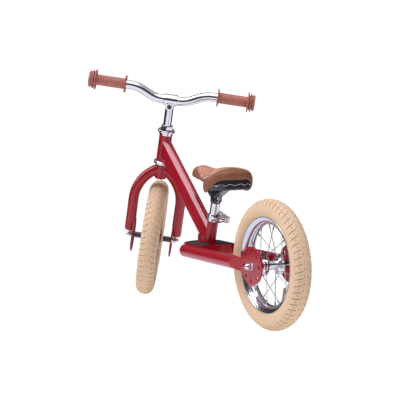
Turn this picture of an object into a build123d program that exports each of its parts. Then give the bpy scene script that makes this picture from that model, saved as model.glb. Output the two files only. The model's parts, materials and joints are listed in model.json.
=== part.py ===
from build123d import *
from math import cos, degrees, acos, radians, sin, sqrt
import os

# Balance bike with spoked wheels, modelled in millimetres and degrees.
# +X points forward, +Y to the rider's left, +Z up. The origin is on the ground, under the
# middle of the length. The front end rests turned to the right, as the bike stands on its tyres.

# Wheels
TYRE_R = 150.0
TYRE_SECTION_R = 23.5
TYRE_WALL = 3.5
RIM_HALF_WIDTH = 16.2
RIM_DEPTH = 18.0
RIM_WALL = 1.6
INNER_TUBE_SLACK = 3.0
INNER_TUBE_WALL = 1.2
SPOKES_PER_SIDE = 10
SPOKE_R = 0.9
NIPPLE_R = 1.9
NIPPLE_LEN = 11.0
NIPPLE_OFFSET = 2.0
VALVE_ANGLE = -144.0
VALVE_NECK = 4.0
VALVE_LEAN = 30.0
VALVE_LEN = 24.0
VALVE_R = 3.0
VALVE_BORE_R = 1.2
VALVE_CAP_R = 3.9
VALVE_CAP_LEN = 12.0

# Hubs and axles
AXLE_R = 5.0
HUB_BARREL_R = 9.2
HUB_FLANGE_R = 25.0
HUB_FLANGE_Y = 20.0
HUB_FLANGE_T = 2.6
HUB_END_Y = 28.0
HUB_CUP_R = 13.5
SPOKE_CIRCLE_R = 20.5
BEARING_R = 11.0
BEARING_W = 7.0
SPACER_R = 7.5
PLATE_Y = 50.5
PLATE_T = 4.0
PLATE_R = 44.5
PLATE_HOLES = 8
PLATE_HOLE_CIRCLE_R = 34.0
PLATE_HOLE_R = 4.5
WASHER_R = 9.5
WASHER_T = 1.6
NUT_FLATS = 15.0
NUT_HEX_H = 7.5
NUT_DOME_R = 6.6
NUT_DOME_ROUND = 5.6
NUT_H = 15.0
AXLE_END_GAP = 5.0

# Steering geometry
WHEELBASE = 612.0
HEAD_TILT = 16.2
STEER = 31.3
FORK_ABOVE_TYRE = 60.0
FORK_OFFSET = 12.0

# Headset and head tube, measured up the steering axis from the lower race
HEAD_TUBE_R = 16.25
HEAD_TUBE_WALL = 2.0
HEAD_TUBE_LEN = 69.5
CUP_R = 21.5
LOWER_CUP_H = 8.0
LOWER_CUP_BASE = -1.5
UPPER_CUP_R = 17.2
UPPER_CUP_H = 6.0
CUP_SPIGOT = 10.0
CUP_BORE_GAP = 0.6
BALL_RING_H = 3.4
BALL_RING_W = 3.0
CROWN_RACE_H = 2.0
CROWN_RACE_R = 17.0
ADJUSTER_H = 7.0
ADJUSTER_R = 21.5
LOCKNUT_FLATS = 28.0
LOCKNUT_H = 10.0

# Fork
STEERER_R = 12.7
STEERER_WALL = 2.1
CROWN_R = 14.5
CROWN_LEN = 38.0
LEG_R = 13.0
LEG_WALL = 2.0
LEG_Y = 60.5
LEG_BEND_R = 100.0
LEG_MEET_DROP = 10.7
LEG_END_ABOVE_AXLE = 17.0
LEG_PLUG_LEN = 16.0
LEG_NOSE_R = 9.0

# Stem, handlebar and grips, measured up the steering axis from the lower race
QUILL_CLEARANCE = 0.05
QUILL_WALL = 3.0
QUILL_END = 34.0
BAR_HEIGHT = 167.0
STEM_BARREL_R = 14.6
STEM_BARREL_LEN = 34.0
STEM_BOSS_R = 10.0
STEM_BOSS_BELOW_BAR = 14.5
STEM_BOSS_LEN = 30.0
STEM_SLIT = 2.0
STEM_BOLT_R = 3.0
STEM_BOLT_HEAD_R = 6.2
STEM_BOLT_HEAD_H = 6.0
STEM_SOCKET_FLATS = 5.0
STEM_SOCKET_DEPTH = 4.2
WEDGE_LEN = 26.0
WEDGE_SLANT = 25.0
EXPANDER_R = 4.0
EXPANDER_HEAD_R = 6.4
EXPANDER_HEAD_H = 8.0
EXPANDER_FLATS = 6.0
EXPANDER_TOP = 92.0
BAR_R = 11.1
BAR_WALL = 1.8
BAR_RISE = 24.0
BAR_BEND_R = 80.0
BAR_SLOPE = 26.0
BAR_SLOPE_MID = 63.0
BAR_HALF = 204.0
GRIP_START = 115.5
GRIP_END = 210.5
GRIP_R = 13.4
GRIP_COLLAR_R = 22.0
GRIP_COLLAR_T = 4.0
GRIP_DISC_R = 25.2
GRIP_DISC_STEP = 2.4
GRIP_DISC_T = 3.6
GRIP_DISC_PITCH = 6.4
GRIP_DISCS = 3
GRIP_CORE_R = 18.0
GRIP_DOME_R = 5.1

# Main frame
DOWN_TUBE_HALF_W = 12.5
DOWN_TUBE_HALF_H = 26.5
DOWN_TUBE_WALL = 2.0
DOWN_TUBE_AT_HEAD = 43.5
DOWN_TUBE_AT_SEAT = 14.5
SEAT_TUBE_X = 288.0
SEAT_TILT = 15.0
SEAT_TUBE_R = 13.0
SEAT_TUBE_LEN = 74.0
SEAT_SLOT_W = 2.4
SEAT_SLOT_LEN = 28.0
FRAME_BOSS_X = 308.0
FRAME_BOSS_R = 20.0
FRAME_BOSS_H = 20.0

# Rear frame: two stays, the footrest between them and the bolt that joins it to the main frame
STAY_R = 16.0
STAY_WALL = 2.0
STAY_FRONT_X = 324.0
STAY_NOSE_R = 9.0
STAY_BEVEL_LEN = 34.0
STAY_PLUG_LEN = 12.0
DECK_FRONT_X = 330.0
DECK_REAR_X = 228.0
DECK_BOW = 22.0
DECK_SCOOP = 22.0
DECK_T = 3.0
DECK_SINK = 1.0
DECK_FRONT_ROUND = 9.0
DECK_REAR_ROUND = 3.0
DECK_FLANGE_H = 18.0
TAPE_T = 1.2
TAPE_INSET = 2.5
TAPE_REAR_INSET = 12.0
SLEEVE_R = 13.0
SLEEVE_LEN = 38.0
FRAME_BOLT_R = 5.0
FRAME_BOLT_HEAD_R = 9.2
FRAME_BOLT_HEAD_H = 11.0
FRAME_BOLT_DOME_R = 7.4
FRAME_BOLT_GRIP = 15.0

# Seat clamp, seatpost and saddle, measured up the seat tube from the footrest
POST_R = 11.1
POST_WALL = 1.8
POST_CLEARANCE = 0.05
POST_BOTTOM = 34.0
POST_TOP = 128.0
COLLAR_WALL = 2.2
COLLAR_H = 14.0
EAR_REACH = 26.0
EAR_GAP = 2.6
EAR_T = 7.0
SKEWER_BEHIND = 20.0
SKEWER_R = 2.6
SKEWER_CAP_R = 6.0
SKEWER_CAP_H = 6.0
CAM_WASHER_H = 8.5
LEVER_HUB_R = 8.0
LEVER_H = 13.0
LEVER_SLOT = 6.4
LEVER_PIN_R = 2.5
LEVER_LEN = 50.0
LEVER_T = 5.0
LEVER_TIP_R = 5.8
LEVER_CURVE_AT = 28.0
CLAMP_AT = 117.0
CLAMP_R = 14.0
CLAMP_HALF = 13.2
CLAMP_H = 18.0
CLAMP_SLEEVE_R = 12.6
CLAMP_SLEEVE_H = 4.0
SADDLE_TOP = 78.0
SADDLE_HALF_W = 63.0
SADDLE_REAR = -98.0
SADDLE_NOSE = 104.0
SADDLE_CROWN = 0.14
SADDLE_BULGE_AT = 0.45
SADDLE_TUCK = 0.94
PAN_INSET = 6.0
PAN_WALL = 2.5
PAN_FOOT = 0.9
PAN_RIB_T = 2.4
PAN_RIB_H = 8.0
PAN_RIBS = 4
KEEL_REAR = -60.0
KEEL_FRONT = 42.0
KEEL_LOW = 3.0
KEEL_HIGH = 26.0
KEEL_HALF_W = 11.0
SADDLE_BOLT_R = 3.0
SADDLE_BOLT_HEAD_R = 5.3
SADDLE_BOLT_HEAD_H = 4.0
SADDLE_BOLT_FLATS = 5.0

# Clearances
RUN_GAP = 0.3
SHAFT_GAP = 0.05

# Places worked out from the dimensions above
RING_R = TYRE_R - TYRE_SECTION_R
BEAD_Y = RIM_HALF_WIDTH + RIM_WALL / 3
RIM_EDGE_R = RING_R - sqrt(TYRE_SECTION_R**2 - BEAD_Y**2)
RIM_BED_R = RIM_EDGE_R - RIM_DEPTH
RIM_KNEE_R = RIM_EDGE_R - RIM_DEPTH / 2
AXLE_Z = TYRE_R
FORK_DROP = TYRE_R + FORK_ABOVE_TYRE
STEER_LEAN = sin(radians(HEAD_TILT)) * sin(radians(STEER))
FRONT_AXLE_Z = RING_R * sqrt(1 - STEER_LEAN**2) + TYRE_SECTION_R
HEAD_X = WHEELBASE - FORK_DROP * sin(radians(HEAD_TILT)) - FORK_OFFSET * cos(radians(HEAD_TILT))
HEAD_Z = (
    FRONT_AXLE_Z
    + FORK_DROP * cos(radians(HEAD_TILT))
    - FORK_OFFSET * sin(radians(HEAD_TILT)) * cos(radians(STEER))
)
DECK_TOP = AXLE_Z + STAY_R + DECK_T - DECK_SINK
FORK_FRAME = Pos(HEAD_X, 0, HEAD_Z) * Rot(0, -HEAD_TILT, 0) * Rot(0, 0, -STEER)
HEAD_FRAME = Pos(HEAD_X, 0, HEAD_Z) * Rot(0, -HEAD_TILT, 0)
SEAT_FRAME = Pos(SEAT_TUBE_X, 0, DECK_TOP) * Rot(0, -SEAT_TILT, 0)
FRONT_WHEEL_FRAME = FORK_FRAME * Pos(FORK_OFFSET, 0, -FORK_DROP)
REAR_WHEEL_FRAME = Pos(0, 0, AXLE_Z)

# The length runs from the back of the rear tyre to the front of the turned front tyre.
AXLE_FORWARD = cos(radians(HEAD_TILT)) * sin(radians(STEER))
FRONT_REACH = (FRONT_WHEEL_FRAME.position.X + RING_R * sqrt(1 - AXLE_FORWARD**2) + TYRE_SECTION_R)
MIDDLE_X = (FRONT_REACH - TYRE_R) / 2
PLACE = Pos(-MIDDLE_X, 0, 0)

BOTTOM = (Align.CENTER, Align.CENTER, Align.MIN)


def disc(radius, low, high):
    return Pos(0, 0, low) * Cylinder(radius, high - low, align=BOTTOM)


def ring(outer, inner, low, high):
    return disc(outer, low, high) - disc(inner, low, high)


def across(shape):
    """Turn a solid built along Z so that it lies along Y."""
    return Rot(-90, 0, 0) * shape


def rod(start, end, radius):
    start = Vector(*start)
    run = Vector(*end) - start
    return Plane(start, z_dir=run) * Cylinder(radius, run.length, align=BOTTOM)


def hexagon(flats, low, high):
    return Pos(0, 0, low) * extrude(RegularPolygon(flats / 2, 6, major_radius=False), high - low)


def turned(points):
    """Solid of revolution about Y from a closed outline of (radius, y) points."""
    return revolve(make_face(Polyline(*points, close=True)), Axis.Y)


def mirrored_pair(shape):
    return [shape, mirror(shape, Plane.XZ)]


def largest(shape):
    return max(shape.solids(), key=lambda solid: solid.volume)


def on_wheel(radius, y, angle):
    """Point on a wheel: the angle runs from the top towards the front."""
    return (radius * sin(radians(angle)), y, radius * cos(radians(angle)))


# Wheels


def make_tyre():
    """Hollow tyre carcass whose two beads hook behind the edges of the rim."""
    inner_r = TYRE_SECTION_R - TYRE_WALL
    inner_y = sqrt(inner_r**2 - (RING_R - RIM_EDGE_R) ** 2)
    seat_y = RIM_HALF_WIDTH - RIM_WALL - RUN_GAP
    foot_r = RIM_KNEE_R + RIM_WALL
    foot_y = seat_y - RIM_WALL
    outer = ThreePointArc((RIM_EDGE_R, -BEAD_Y), (TYRE_R, 0), (RIM_EDGE_R, BEAD_Y))
    inner = ThreePointArc((RIM_EDGE_R, -inner_y), (RING_R + inner_r, 0), (RIM_EDGE_R, inner_y))
    sides = [
        Polyline(
            (RIM_EDGE_R, side * BEAD_Y),
            (RIM_EDGE_R, side * seat_y),
            (foot_r, side * foot_y),
            (foot_r, side * (foot_y - TYRE_WALL)),
            (RIM_EDGE_R, side * inner_y),
        )
        for side in (-1, 1)
    ]
    return revolve(make_face(outer.edges() + inner.edges() + sides[0].edges() + sides[1].edges()), Axis.Y)


def on_valve(distance):
    """Point on the valve's axis: the stem leans to the right once it is clear of the rim."""
    lean = radians(VALVE_LEAN)
    bend_r = RIM_BED_R - VALVE_NECK
    return on_wheel(bend_r - distance * cos(lean), -distance * sin(lean), VALVE_ANGLE)


def valve_run(start_r, radius):
    """Bent rod along the valve, from a radius on the wheel to the end of the stem."""
    bend = on_valve(0)
    start = on_wheel(start_r, 0, VALVE_ANGLE)
    return rod(start, bend, radius) + Pos(*bend) * Sphere(radius) + rod(bend, on_valve(VALVE_LEN), radius)


def make_inner_tube():
    """Hollow ring with its valve stem, bored through to the air space."""
    tube_r = TYRE_SECTION_R - TYRE_WALL - INNER_TUBE_SLACK
    centre_r = TYRE_R - TYRE_WALL - tube_r
    wall = Circle(tube_r) - Circle(tube_r - INNER_TUBE_WALL)
    tube = revolve(Pos(centre_r, 0, 0) * wall, Axis.Y)
    stem = valve_run(centre_r - tube_r + INNER_TUBE_WALL / 2, VALVE_R)
    return tube + stem - valve_run(centre_r, VALVE_BORE_R)


def make_valve_cap():
    cap_start = on_valve(VALVE_LEN - VALVE_CAP_LEN / 2)
    cap = rod(cap_start, on_valve(VALVE_LEN + VALVE_CAP_LEN / 2), VALVE_CAP_R)
    tip = cap.edges().filter_by(GeomType.CIRCLE).sort_by_distance(on_valve(VALVE_LEN + VALVE_CAP_LEN))[0]
    return fillet(tip, VALVE_CAP_R / 3) - rod(cap_start, on_valve(VALVE_LEN), VALVE_R)


def spoke_runs():
    """Hub point, rim point and head point of every spoke, laced one-cross from both flanges."""
    pitch = 360 / SPOKES_PER_SIDE
    reach = HUB_FLANGE_T / 2 + SPOKE_R + 2 * RUN_GAP
    for side in (-1, 1):
        for index in range(SPOKES_PER_SIDE):
            rim_angle = index * pitch - side * pitch / 4
            lead = -side * (1 if index % 2 == 0 else -1)
            outside = reach if index % 2 == 0 else -reach
            hub_angle = rim_angle + lead * pitch
            hub = on_wheel(SPOKE_CIRCLE_R, side * (HUB_FLANGE_Y + outside), hub_angle)
            head = on_wheel(SPOKE_CIRCLE_R, side * (HUB_FLANGE_Y - outside), hub_angle)
            rim = on_wheel(RIM_BED_R + RIM_WALL, side * NIPPLE_OFFSET, rim_angle)
            yield hub, rim, head


def nipple_base(hub, rim):
    """Point where the spoke enters its nipple."""
    run = Vector(*rim) - Vector(*hub)
    return Vector(*rim) - run.normalized() * NIPPLE_LEN


def make_spokes():
    return [
        rod(hub, nipple_base(hub, rim), SPOKE_R) + rod(head, hub, SPOKE_R) + Pos(*hub) * Sphere(SPOKE_R)
        for hub, rim, head in spoke_runs()
    ]


def make_nipples():
    return [rod(nipple_base(hub, rim), rim, NIPPLE_R) for hub, rim, head in spoke_runs()]


def make_rim(nipples):
    """Deep drop-centre rim rolled from strip, with its nipple and valve holes."""
    waist_y = RIM_HALF_WIDTH - RIM_WALL / 2
    bed_y = RIM_HALF_WIDTH / 2
    outside = [(RIM_EDGE_R, RIM_HALF_WIDTH), (RIM_KNEE_R, waist_y), (RIM_BED_R + RIM_WALL, bed_y), (RIM_BED_R, 0)]
    inside = [
        (RIM_EDGE_R, RIM_HALF_WIDTH - RIM_WALL),
        (RIM_KNEE_R, waist_y - RIM_WALL),
        (RIM_BED_R + 2 * RIM_WALL, bed_y - RIM_WALL),
        (RIM_BED_R + RIM_WALL, 0),
    ]
    outer = outside + [(r, -y) for r, y in outside[-2::-1]]
    inner = [(r, -y) for r, y in inside] + inside[-2::-1]
    rim = turned(outer + inner)
    valve_hole = rod((0, 0, 0), on_wheel(RIM_EDGE_R, 0, VALVE_ANGLE), VALVE_R)
    return rim - nipples - valve_hole


def make_hub():
    """Low barrel, two drilled flanges swept up from it and a bearing cup in each end."""
    inner_face = HUB_FLANGE_Y - HUB_FLANGE_T / 2
    outer_face = HUB_FLANGE_Y + HUB_FLANGE_T / 2
    seat_y = HUB_END_Y - BEARING_W
    root_y = inner_face - (HUB_CUP_R - HUB_BARREL_R)
    outside = [
        (HUB_BARREL_R, 0),
        (HUB_BARREL_R, root_y),
        (HUB_CUP_R, inner_face - HUB_FLANGE_T),
        (SPOKE_CIRCLE_R - HUB_FLANGE_T, inner_face),
        (HUB_FLANGE_R, inner_face),
        (HUB_FLANGE_R, HUB_FLANGE_Y),
        (SPOKE_CIRCLE_R + HUB_FLANGE_T / 2, outer_face),
        (HUB_CUP_R + HUB_FLANGE_T, outer_face),
        (HUB_CUP_R, outer_face + HUB_FLANGE_T),
        (HUB_CUP_R, HUB_END_Y),
        (BEARING_R, HUB_END_Y),
        (BEARING_R, seat_y),
        (AXLE_R + HUB_FLANGE_T, seat_y),
        (AXLE_R + HUB_FLANGE_T, 0),
    ]
    half = turned(outside)
    hole = across(disc(SPOKE_R, -HUB_FLANGE_T, HUB_FLANGE_T))
    holes = [Pos(*on_wheel(SPOKE_CIRCLE_R, y, angle)) * hole for y, angle in hub_holes()]
    return half + mirror(half, Plane.XZ) - holes


def hub_holes():
    pitch = 360 / SPOKES_PER_SIDE
    for side in (-1, 1):
        for index in range(SPOKES_PER_SIDE):
            yield side * HUB_FLANGE_Y, index * pitch - side * pitch / 4


def make_hub_bearings():
    bearing = ring(BEARING_R, AXLE_R + SHAFT_GAP, HUB_END_Y - BEARING_W, HUB_END_Y)
    return mirrored_pair(across(bearing))


def make_wheel():
    nipples = make_nipples()
    return {
        "tyre": [make_tyre()],
        "inner_tube": [make_inner_tube()],
        "valve_cap": [make_valve_cap()],
        "rim": [make_rim(nipples)],
        "spoke_nipples": nipples,
        "spokes": make_spokes(),
        "hub": [make_hub()],
        "hub_bearings": make_hub_bearings(),
    }


# Axle sets, the same at both ends


PLATE_OUTER = PLATE_Y + PLATE_T / 2
PLATE_INNER = PLATE_Y - PLATE_T / 2
NUT_SEAT = PLATE_OUTER + WASHER_T
AXLE_HALF = NUT_SEAT + NUT_H - AXLE_END_GAP


def make_axle():
    return across(disc(AXLE_R, -AXLE_HALF, AXLE_HALF))


def make_axle_spacers():
    sleeve = ring(SPACER_R, AXLE_R, HUB_END_Y + RUN_GAP, PLATE_INNER)
    return mirrored_pair(across(sleeve))


def make_axle_nuts():
    """Washer and domed cap nut for each side."""
    washer = ring(WASHER_R, AXLE_R, PLATE_OUTER, NUT_SEAT)
    nut = hexagon(NUT_FLATS, NUT_SEAT, NUT_SEAT + NUT_HEX_H)
    crown = disc(NUT_DOME_R, NUT_SEAT, NUT_SEAT + NUT_H)
    crown = fillet(crown.edges().sort_by(Axis.Z)[-1], NUT_DOME_ROUND)
    nut = nut + crown - disc(AXLE_R, NUT_SEAT, AXLE_HALF)
    return mirrored_pair(across(washer)) + mirrored_pair(across(nut))


def make_axle_plate():
    """Round left axle plate with a ring of bolt holes."""
    plate = disc(PLATE_R, PLATE_INNER, PLATE_OUTER)
    plate = chamfer(plate.edges().filter_by(GeomType.CIRCLE), PLATE_T / 8)
    holes = PolarLocations(PLATE_HOLE_CIRCLE_R, PLATE_HOLES) * Cylinder(PLATE_HOLE_R, 4 * PLATE_Y)
    return across(plate - holes - disc(AXLE_R, PLATE_INNER, PLATE_OUTER))


def plate_envelope():
    return across(disc(PLATE_R, PLATE_INNER, PLATE_OUTER))


# Head tube and headset


HEAD_BASE = LOWER_CUP_BASE + LOWER_CUP_H
HEAD_TOP = HEAD_BASE + HEAD_TUBE_LEN
HEAD_BORE_R = HEAD_TUBE_R - HEAD_TUBE_WALL
CUP_BORE_R = STEERER_R + CUP_BORE_GAP
UPPER_CUP_TOP = HEAD_TOP + UPPER_CUP_H
ADJUSTER_BASE = UPPER_CUP_TOP + RUN_GAP
LOCKNUT_BASE = ADJUSTER_BASE + ADJUSTER_H
STEERER_TOP = LOCKNUT_BASE + LOCKNUT_H
BALL_SPACE_R = STEERER_R + BALL_RING_W
CROWN_RACE_TOP = LOWER_CUP_BASE - RUN_GAP
CROWN_TOP = CROWN_RACE_TOP - CROWN_RACE_H
CROWN_END = CROWN_TOP - CROWN_LEN


def make_head_tube():
    return ring(HEAD_TUBE_R, HEAD_BORE_R, HEAD_BASE, HEAD_TOP)


def make_lower_cup():
    """Pressed cup under the head tube, recessed below for the ball ring."""
    cup = disc(CUP_R, LOWER_CUP_BASE, HEAD_BASE)
    cup = fillet(cup.edges().filter_by(GeomType.CIRCLE).sort_by(Axis.Z)[0], LOWER_CUP_H / 4)
    cup = chamfer(cup.edges().filter_by(GeomType.CIRCLE).sort_by(Axis.Z)[-1], LOWER_CUP_H / 4)
    cup = cup + disc(HEAD_BORE_R, HEAD_BASE, HEAD_BASE + CUP_SPIGOT)
    ball_space = disc(BALL_SPACE_R, LOWER_CUP_BASE, CROWN_RACE_TOP + BALL_RING_H + RUN_GAP)
    return cup - disc(CUP_BORE_R, LOWER_CUP_BASE, HEAD_BASE + CUP_SPIGOT) - ball_space


def make_upper_cup():
    cup = disc(UPPER_CUP_R, HEAD_TOP, UPPER_CUP_TOP) + disc(HEAD_BORE_R, HEAD_TOP - CUP_SPIGOT, HEAD_TOP)
    ball_space = disc(BALL_SPACE_R, ADJUSTER_BASE - BALL_RING_H - RUN_GAP, UPPER_CUP_TOP)
    return cup - disc(CUP_BORE_R, HEAD_TOP - CUP_SPIGOT, UPPER_CUP_TOP) - ball_space


def ball_ring(low):
    """Caged balls between two races, turning with the fork."""
    cage = disc(STEERER_R + BALL_RING_W - CUP_BORE_GAP, low, low + BALL_RING_H)
    cage = fillet(cage.edges().filter_by(GeomType.CIRCLE), BALL_RING_H / 3)
    return cage - disc(STEERER_R, low, low + BALL_RING_H)


def make_crown_race():
    race = disc(CROWN_RACE_R, CROWN_TOP, CROWN_RACE_TOP)
    race = chamfer(race.edges().filter_by(GeomType.CIRCLE).sort_by(Axis.Z)[-1], CROWN_RACE_H / 3)
    return race - disc(STEERER_R, CROWN_TOP, CROWN_RACE_TOP)


def make_adjuster():
    """Flanged upper race that screws down the steerer."""
    race = disc(ADJUSTER_R, ADJUSTER_BASE, LOCKNUT_BASE)
    race = fillet(race.edges().filter_by(GeomType.CIRCLE), ADJUSTER_H / 3)
    return race - disc(STEERER_R, ADJUSTER_BASE, LOCKNUT_BASE)


def make_locknut():
    nut = hexagon(LOCKNUT_FLATS, LOCKNUT_BASE, STEERER_TOP)
    return nut - disc(STEERER_R, LOCKNUT_BASE, STEERER_TOP)


# Fork


def make_steerer():
    return ring(STEERER_R, STEERER_R - STEERER_WALL, CROWN_END + STEERER_WALL, STEERER_TOP)


def make_crown():
    """Open sleeve at the foot of the steerer that both legs are welded to."""
    crown = disc(CROWN_R, CROWN_END, CROWN_TOP)
    crown = chamfer(crown.edges().filter_by(GeomType.CIRCLE), STEERER_WALL / 2)
    return crown - disc(STEERER_R, CROWN_END + STEERER_WALL, CROWN_TOP) - disc(
        STEERER_R - STEERER_WALL, CROWN_END, CROWN_TOP
    )


def make_leg():
    """Left fork leg: a tube bent in to the crown, closed at the foot and cut to seat on its plate."""
    foot = -FORK_DROP + LEG_END_ABOVE_AXLE
    plug_top = foot + LEG_PLUG_LEN
    sweep_angle = degrees(acos((LEG_BEND_R - LEG_Y) / LEG_BEND_R))
    bend_base = CROWN_TOP - LEG_MEET_DROP - LEG_BEND_R * sin(radians(sweep_angle))
    straight = Line((LEG_Y, plug_top), (LEG_Y, bend_base))
    bend = JernArc((LEG_Y, bend_base), (0, 1), LEG_BEND_R, sweep_angle)
    path = Plane.YZ * Curve([straight, bend])
    path = Wire(path.edges())
    section = Plane(path @ 0, z_dir=path % 0) * (Circle(LEG_R) - Circle(LEG_R - LEG_WALL))
    plug = fillet(disc(LEG_R, foot, plug_top).edges().sort_by(Axis.Z)[0], LEG_NOSE_R)
    leg = sweep(section, path=path) + Pos(0, LEG_Y, 0) * plug
    seat = Pos(FORK_OFFSET, 0, -FORK_DROP) * across(disc(PLATE_R, PLATE_INNER - LEG_R, PLATE_OUTER))
    return largest(leg - disc(CROWN_R, CROWN_END - CROWN_R, CROWN_TOP + CROWN_R) - seat)


# Stem, handlebar and grips


QUILL_R = STEERER_R - STEERER_WALL - QUILL_CLEARANCE
BOSS_HEIGHT = BAR_HEIGHT - STEM_BOSS_BELOW_BAR
WEDGE_BASE = QUILL_END - WEDGE_LEN / 2


def wedge_cut():
    """Half space below the slanted face that the quill and its wedge share."""
    slant = Pos(0, 0, QUILL_END) * Rot(0, WEDGE_SLANT, 0)
    return slant * Box(6 * QUILL_R, 6 * QUILL_R, 4 * WEDGE_LEN, align=(Align.CENTER, Align.CENTER, Align.MAX))


def make_stem():
    """Quill, rear-facing pinch boss and cross barrel as one forging, slit where it clamps the bar."""
    post = disc(QUILL_R, WEDGE_BASE, BAR_HEIGHT) - wedge_cut()
    post = post - disc(QUILL_R - QUILL_WALL, WEDGE_BASE, EXPANDER_TOP)
    barrel = Pos(0, 0, BAR_HEIGHT) * across(disc(STEM_BARREL_R, -STEM_BARREL_LEN / 2, STEM_BARREL_LEN / 2))
    barrel = chamfer(barrel.edges().filter_by(GeomType.CIRCLE), STEM_SLIT / 2)
    boss = Pos(0, 0, BOSS_HEIGHT) * Rot(0, 90, 0) * Cylinder(STEM_BOSS_R, STEM_BOSS_LEN)
    stem = post + barrel + boss
    slit_low = BOSS_HEIGHT - STEM_BOSS_R / 2
    slit = Pos(0, 0, slit_low) * Box(STEM_SLIT, STEM_BARREL_LEN, BAR_HEIGHT - slit_low, align=BOTTOM)
    bar_bore = Pos(0, 0, BAR_HEIGHT) * across(disc(BAR_R, -STEM_BARREL_LEN, STEM_BARREL_LEN))
    expander_hole = disc(EXPANDER_R, WEDGE_BASE, EXPANDER_TOP + WEDGE_LEN / 2)
    return stem - slit - bar_bore - expander_hole - stem_bolt_envelope()


def stem_bolt_envelope():
    start = -STEM_BOSS_LEN / 2
    head = Pos(start, 0, BOSS_HEIGHT) * Rot(0, 90, 0) * disc(STEM_BOLT_HEAD_R, 0, STEM_BOLT_HEAD_H)
    shank = Pos(start, 0, BOSS_HEIGHT) * Rot(0, 90, 0) * disc(STEM_BOLT_R, 0, STEM_BOSS_LEN)
    return head + shank


def make_stem_bolt():
    socket = Rot(0, 90, 0) * hexagon(STEM_SOCKET_FLATS, 0, STEM_SOCKET_DEPTH)
    return stem_bolt_envelope() - Pos(-STEM_BOSS_LEN / 2, 0, BOSS_HEIGHT) * socket


def make_wedge():
    wedge = disc(QUILL_R, WEDGE_BASE - WEDGE_LEN / 2, QUILL_END + WEDGE_LEN / 2) & wedge_cut()
    return wedge - disc(EXPANDER_R, WEDGE_BASE - WEDGE_LEN, QUILL_END + WEDGE_LEN)


def make_expander_bolt():
    """Bolt worked from below, through the open foot of the steerer."""
    low = WEDGE_BASE - WEDGE_LEN / 2
    head = disc(EXPANDER_HEAD_R, low - EXPANDER_HEAD_H, low)
    socket = hexagon(EXPANDER_FLATS, low - EXPANDER_HEAD_H, low - EXPANDER_HEAD_H / 2)
    return head + disc(EXPANDER_R, low, EXPANDER_TOP + WEDGE_LEN / 2) - socket


def make_handlebar():
    """Bent tube: level in the stem, stepping up to the grips."""
    half_step = BAR_RISE / 2 / (sin(radians(BAR_SLOPE)) / cos(radians(BAR_SLOPE)))
    right = [
        (BAR_SLOPE_MID - half_step, BAR_HEIGHT),
        (BAR_SLOPE_MID + half_step, BAR_HEIGHT + BAR_RISE),
        (BAR_HALF, BAR_HEIGHT + BAR_RISE),
    ]
    points = [(-y, z) for y, z in reversed(right)] + right
    path = Plane.YZ * FilletPolyline(*points, radius=BAR_BEND_R)
    path = Wire(path.edges())
    section = Plane(path @ 0, z_dir=path % 0) * (Circle(BAR_R) - Circle(BAR_R - BAR_WALL))
    return sweep(section, path=path)


def make_grip():
    """Left grip: plain barrel between an inner collar and a stepped safety end."""
    z_axis = BAR_HEIGHT + BAR_RISE
    barrel_end = GRIP_END - GRIP_DISCS * GRIP_DISC_PITCH
    grip = disc(GRIP_R, GRIP_START, barrel_end) + disc(GRIP_CORE_R, barrel_end, GRIP_END - GRIP_DISC_T)
    collar = disc(GRIP_COLLAR_R, GRIP_START, GRIP_START + GRIP_COLLAR_T)
    grip = grip + fillet(collar.edges().filter_by(GeomType.CIRCLE), GRIP_COLLAR_T / 3)
    for index in range(GRIP_DISCS):
        low = barrel_end + index * GRIP_DISC_PITCH
        shape = disc(GRIP_DISC_R - index * GRIP_DISC_STEP, low, low + GRIP_DISC_T)
        rims = shape.edges().filter_by(GeomType.CIRCLE).sort_by(Axis.Z)
        grip = grip + fillet(rims, GRIP_DISC_T / 3)
    cap_low = barrel_end + (GRIP_DISCS - 1) * GRIP_DISC_PITCH
    cap = disc(GRIP_DISC_R - (GRIP_DISCS - 1) * GRIP_DISC_STEP, cap_low, GRIP_END)
    grip = grip + fillet(cap.edges().sort_by(Axis.Z)[-1], GRIP_DOME_R)
    grip = grip - disc(BAR_R, GRIP_START, BAR_HALF)
    return Pos(0, 0, z_axis) * across(grip)


# Main frame


SEAT_AXIS = Vector(-sin(radians(SEAT_TILT)), 0, cos(radians(SEAT_TILT)))
HEAD_AXIS = Vector(-sin(radians(HEAD_TILT)), 0, cos(radians(HEAD_TILT)))
POST_BORE_R = POST_R + POST_CLEARANCE


def above_deck(shape):
    """Cut a solid off at the top of the footrest."""
    floor_box = Pos(SEAT_TUBE_X, 0, DECK_TOP) * Box(
        8 * FRAME_BOSS_R, 8 * FRAME_BOSS_R, 8 * FRAME_BOSS_R, align=(Align.CENTER, Align.CENTER, Align.MAX)
    )
    return shape - floor_box


def seat_tube_envelope():
    return SEAT_FRAME * disc(SEAT_TUBE_R, -SEAT_TUBE_R, SEAT_TUBE_LEN)


def make_seat_tube():
    """Short seat tube, slit at the back so that its clamp can grip the post."""
    bore = SEAT_FRAME * disc(POST_BORE_R, -SEAT_TUBE_R, SEAT_TUBE_LEN)
    slot_low = SEAT_TUBE_LEN - SEAT_SLOT_LEN
    slot = Box(2 * SEAT_TUBE_R, SEAT_SLOT_W, SEAT_SLOT_LEN, align=(Align.MAX, Align.CENTER, Align.MIN))
    keyhole = Rot(0, -90, 0) * disc(SEAT_SLOT_W, 0, 2 * SEAT_TUBE_R)
    slit = SEAT_FRAME * (Pos(0, 0, slot_low) * (slot + keyhole))
    return above_deck(seat_tube_envelope() - bore - slit)


def down_tube_profile(inset):
    half_h = DOWN_TUBE_HALF_H - inset
    half_w = DOWN_TUBE_HALF_W - inset
    return SlotOverall(2 * half_h, 2 * half_w)


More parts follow.
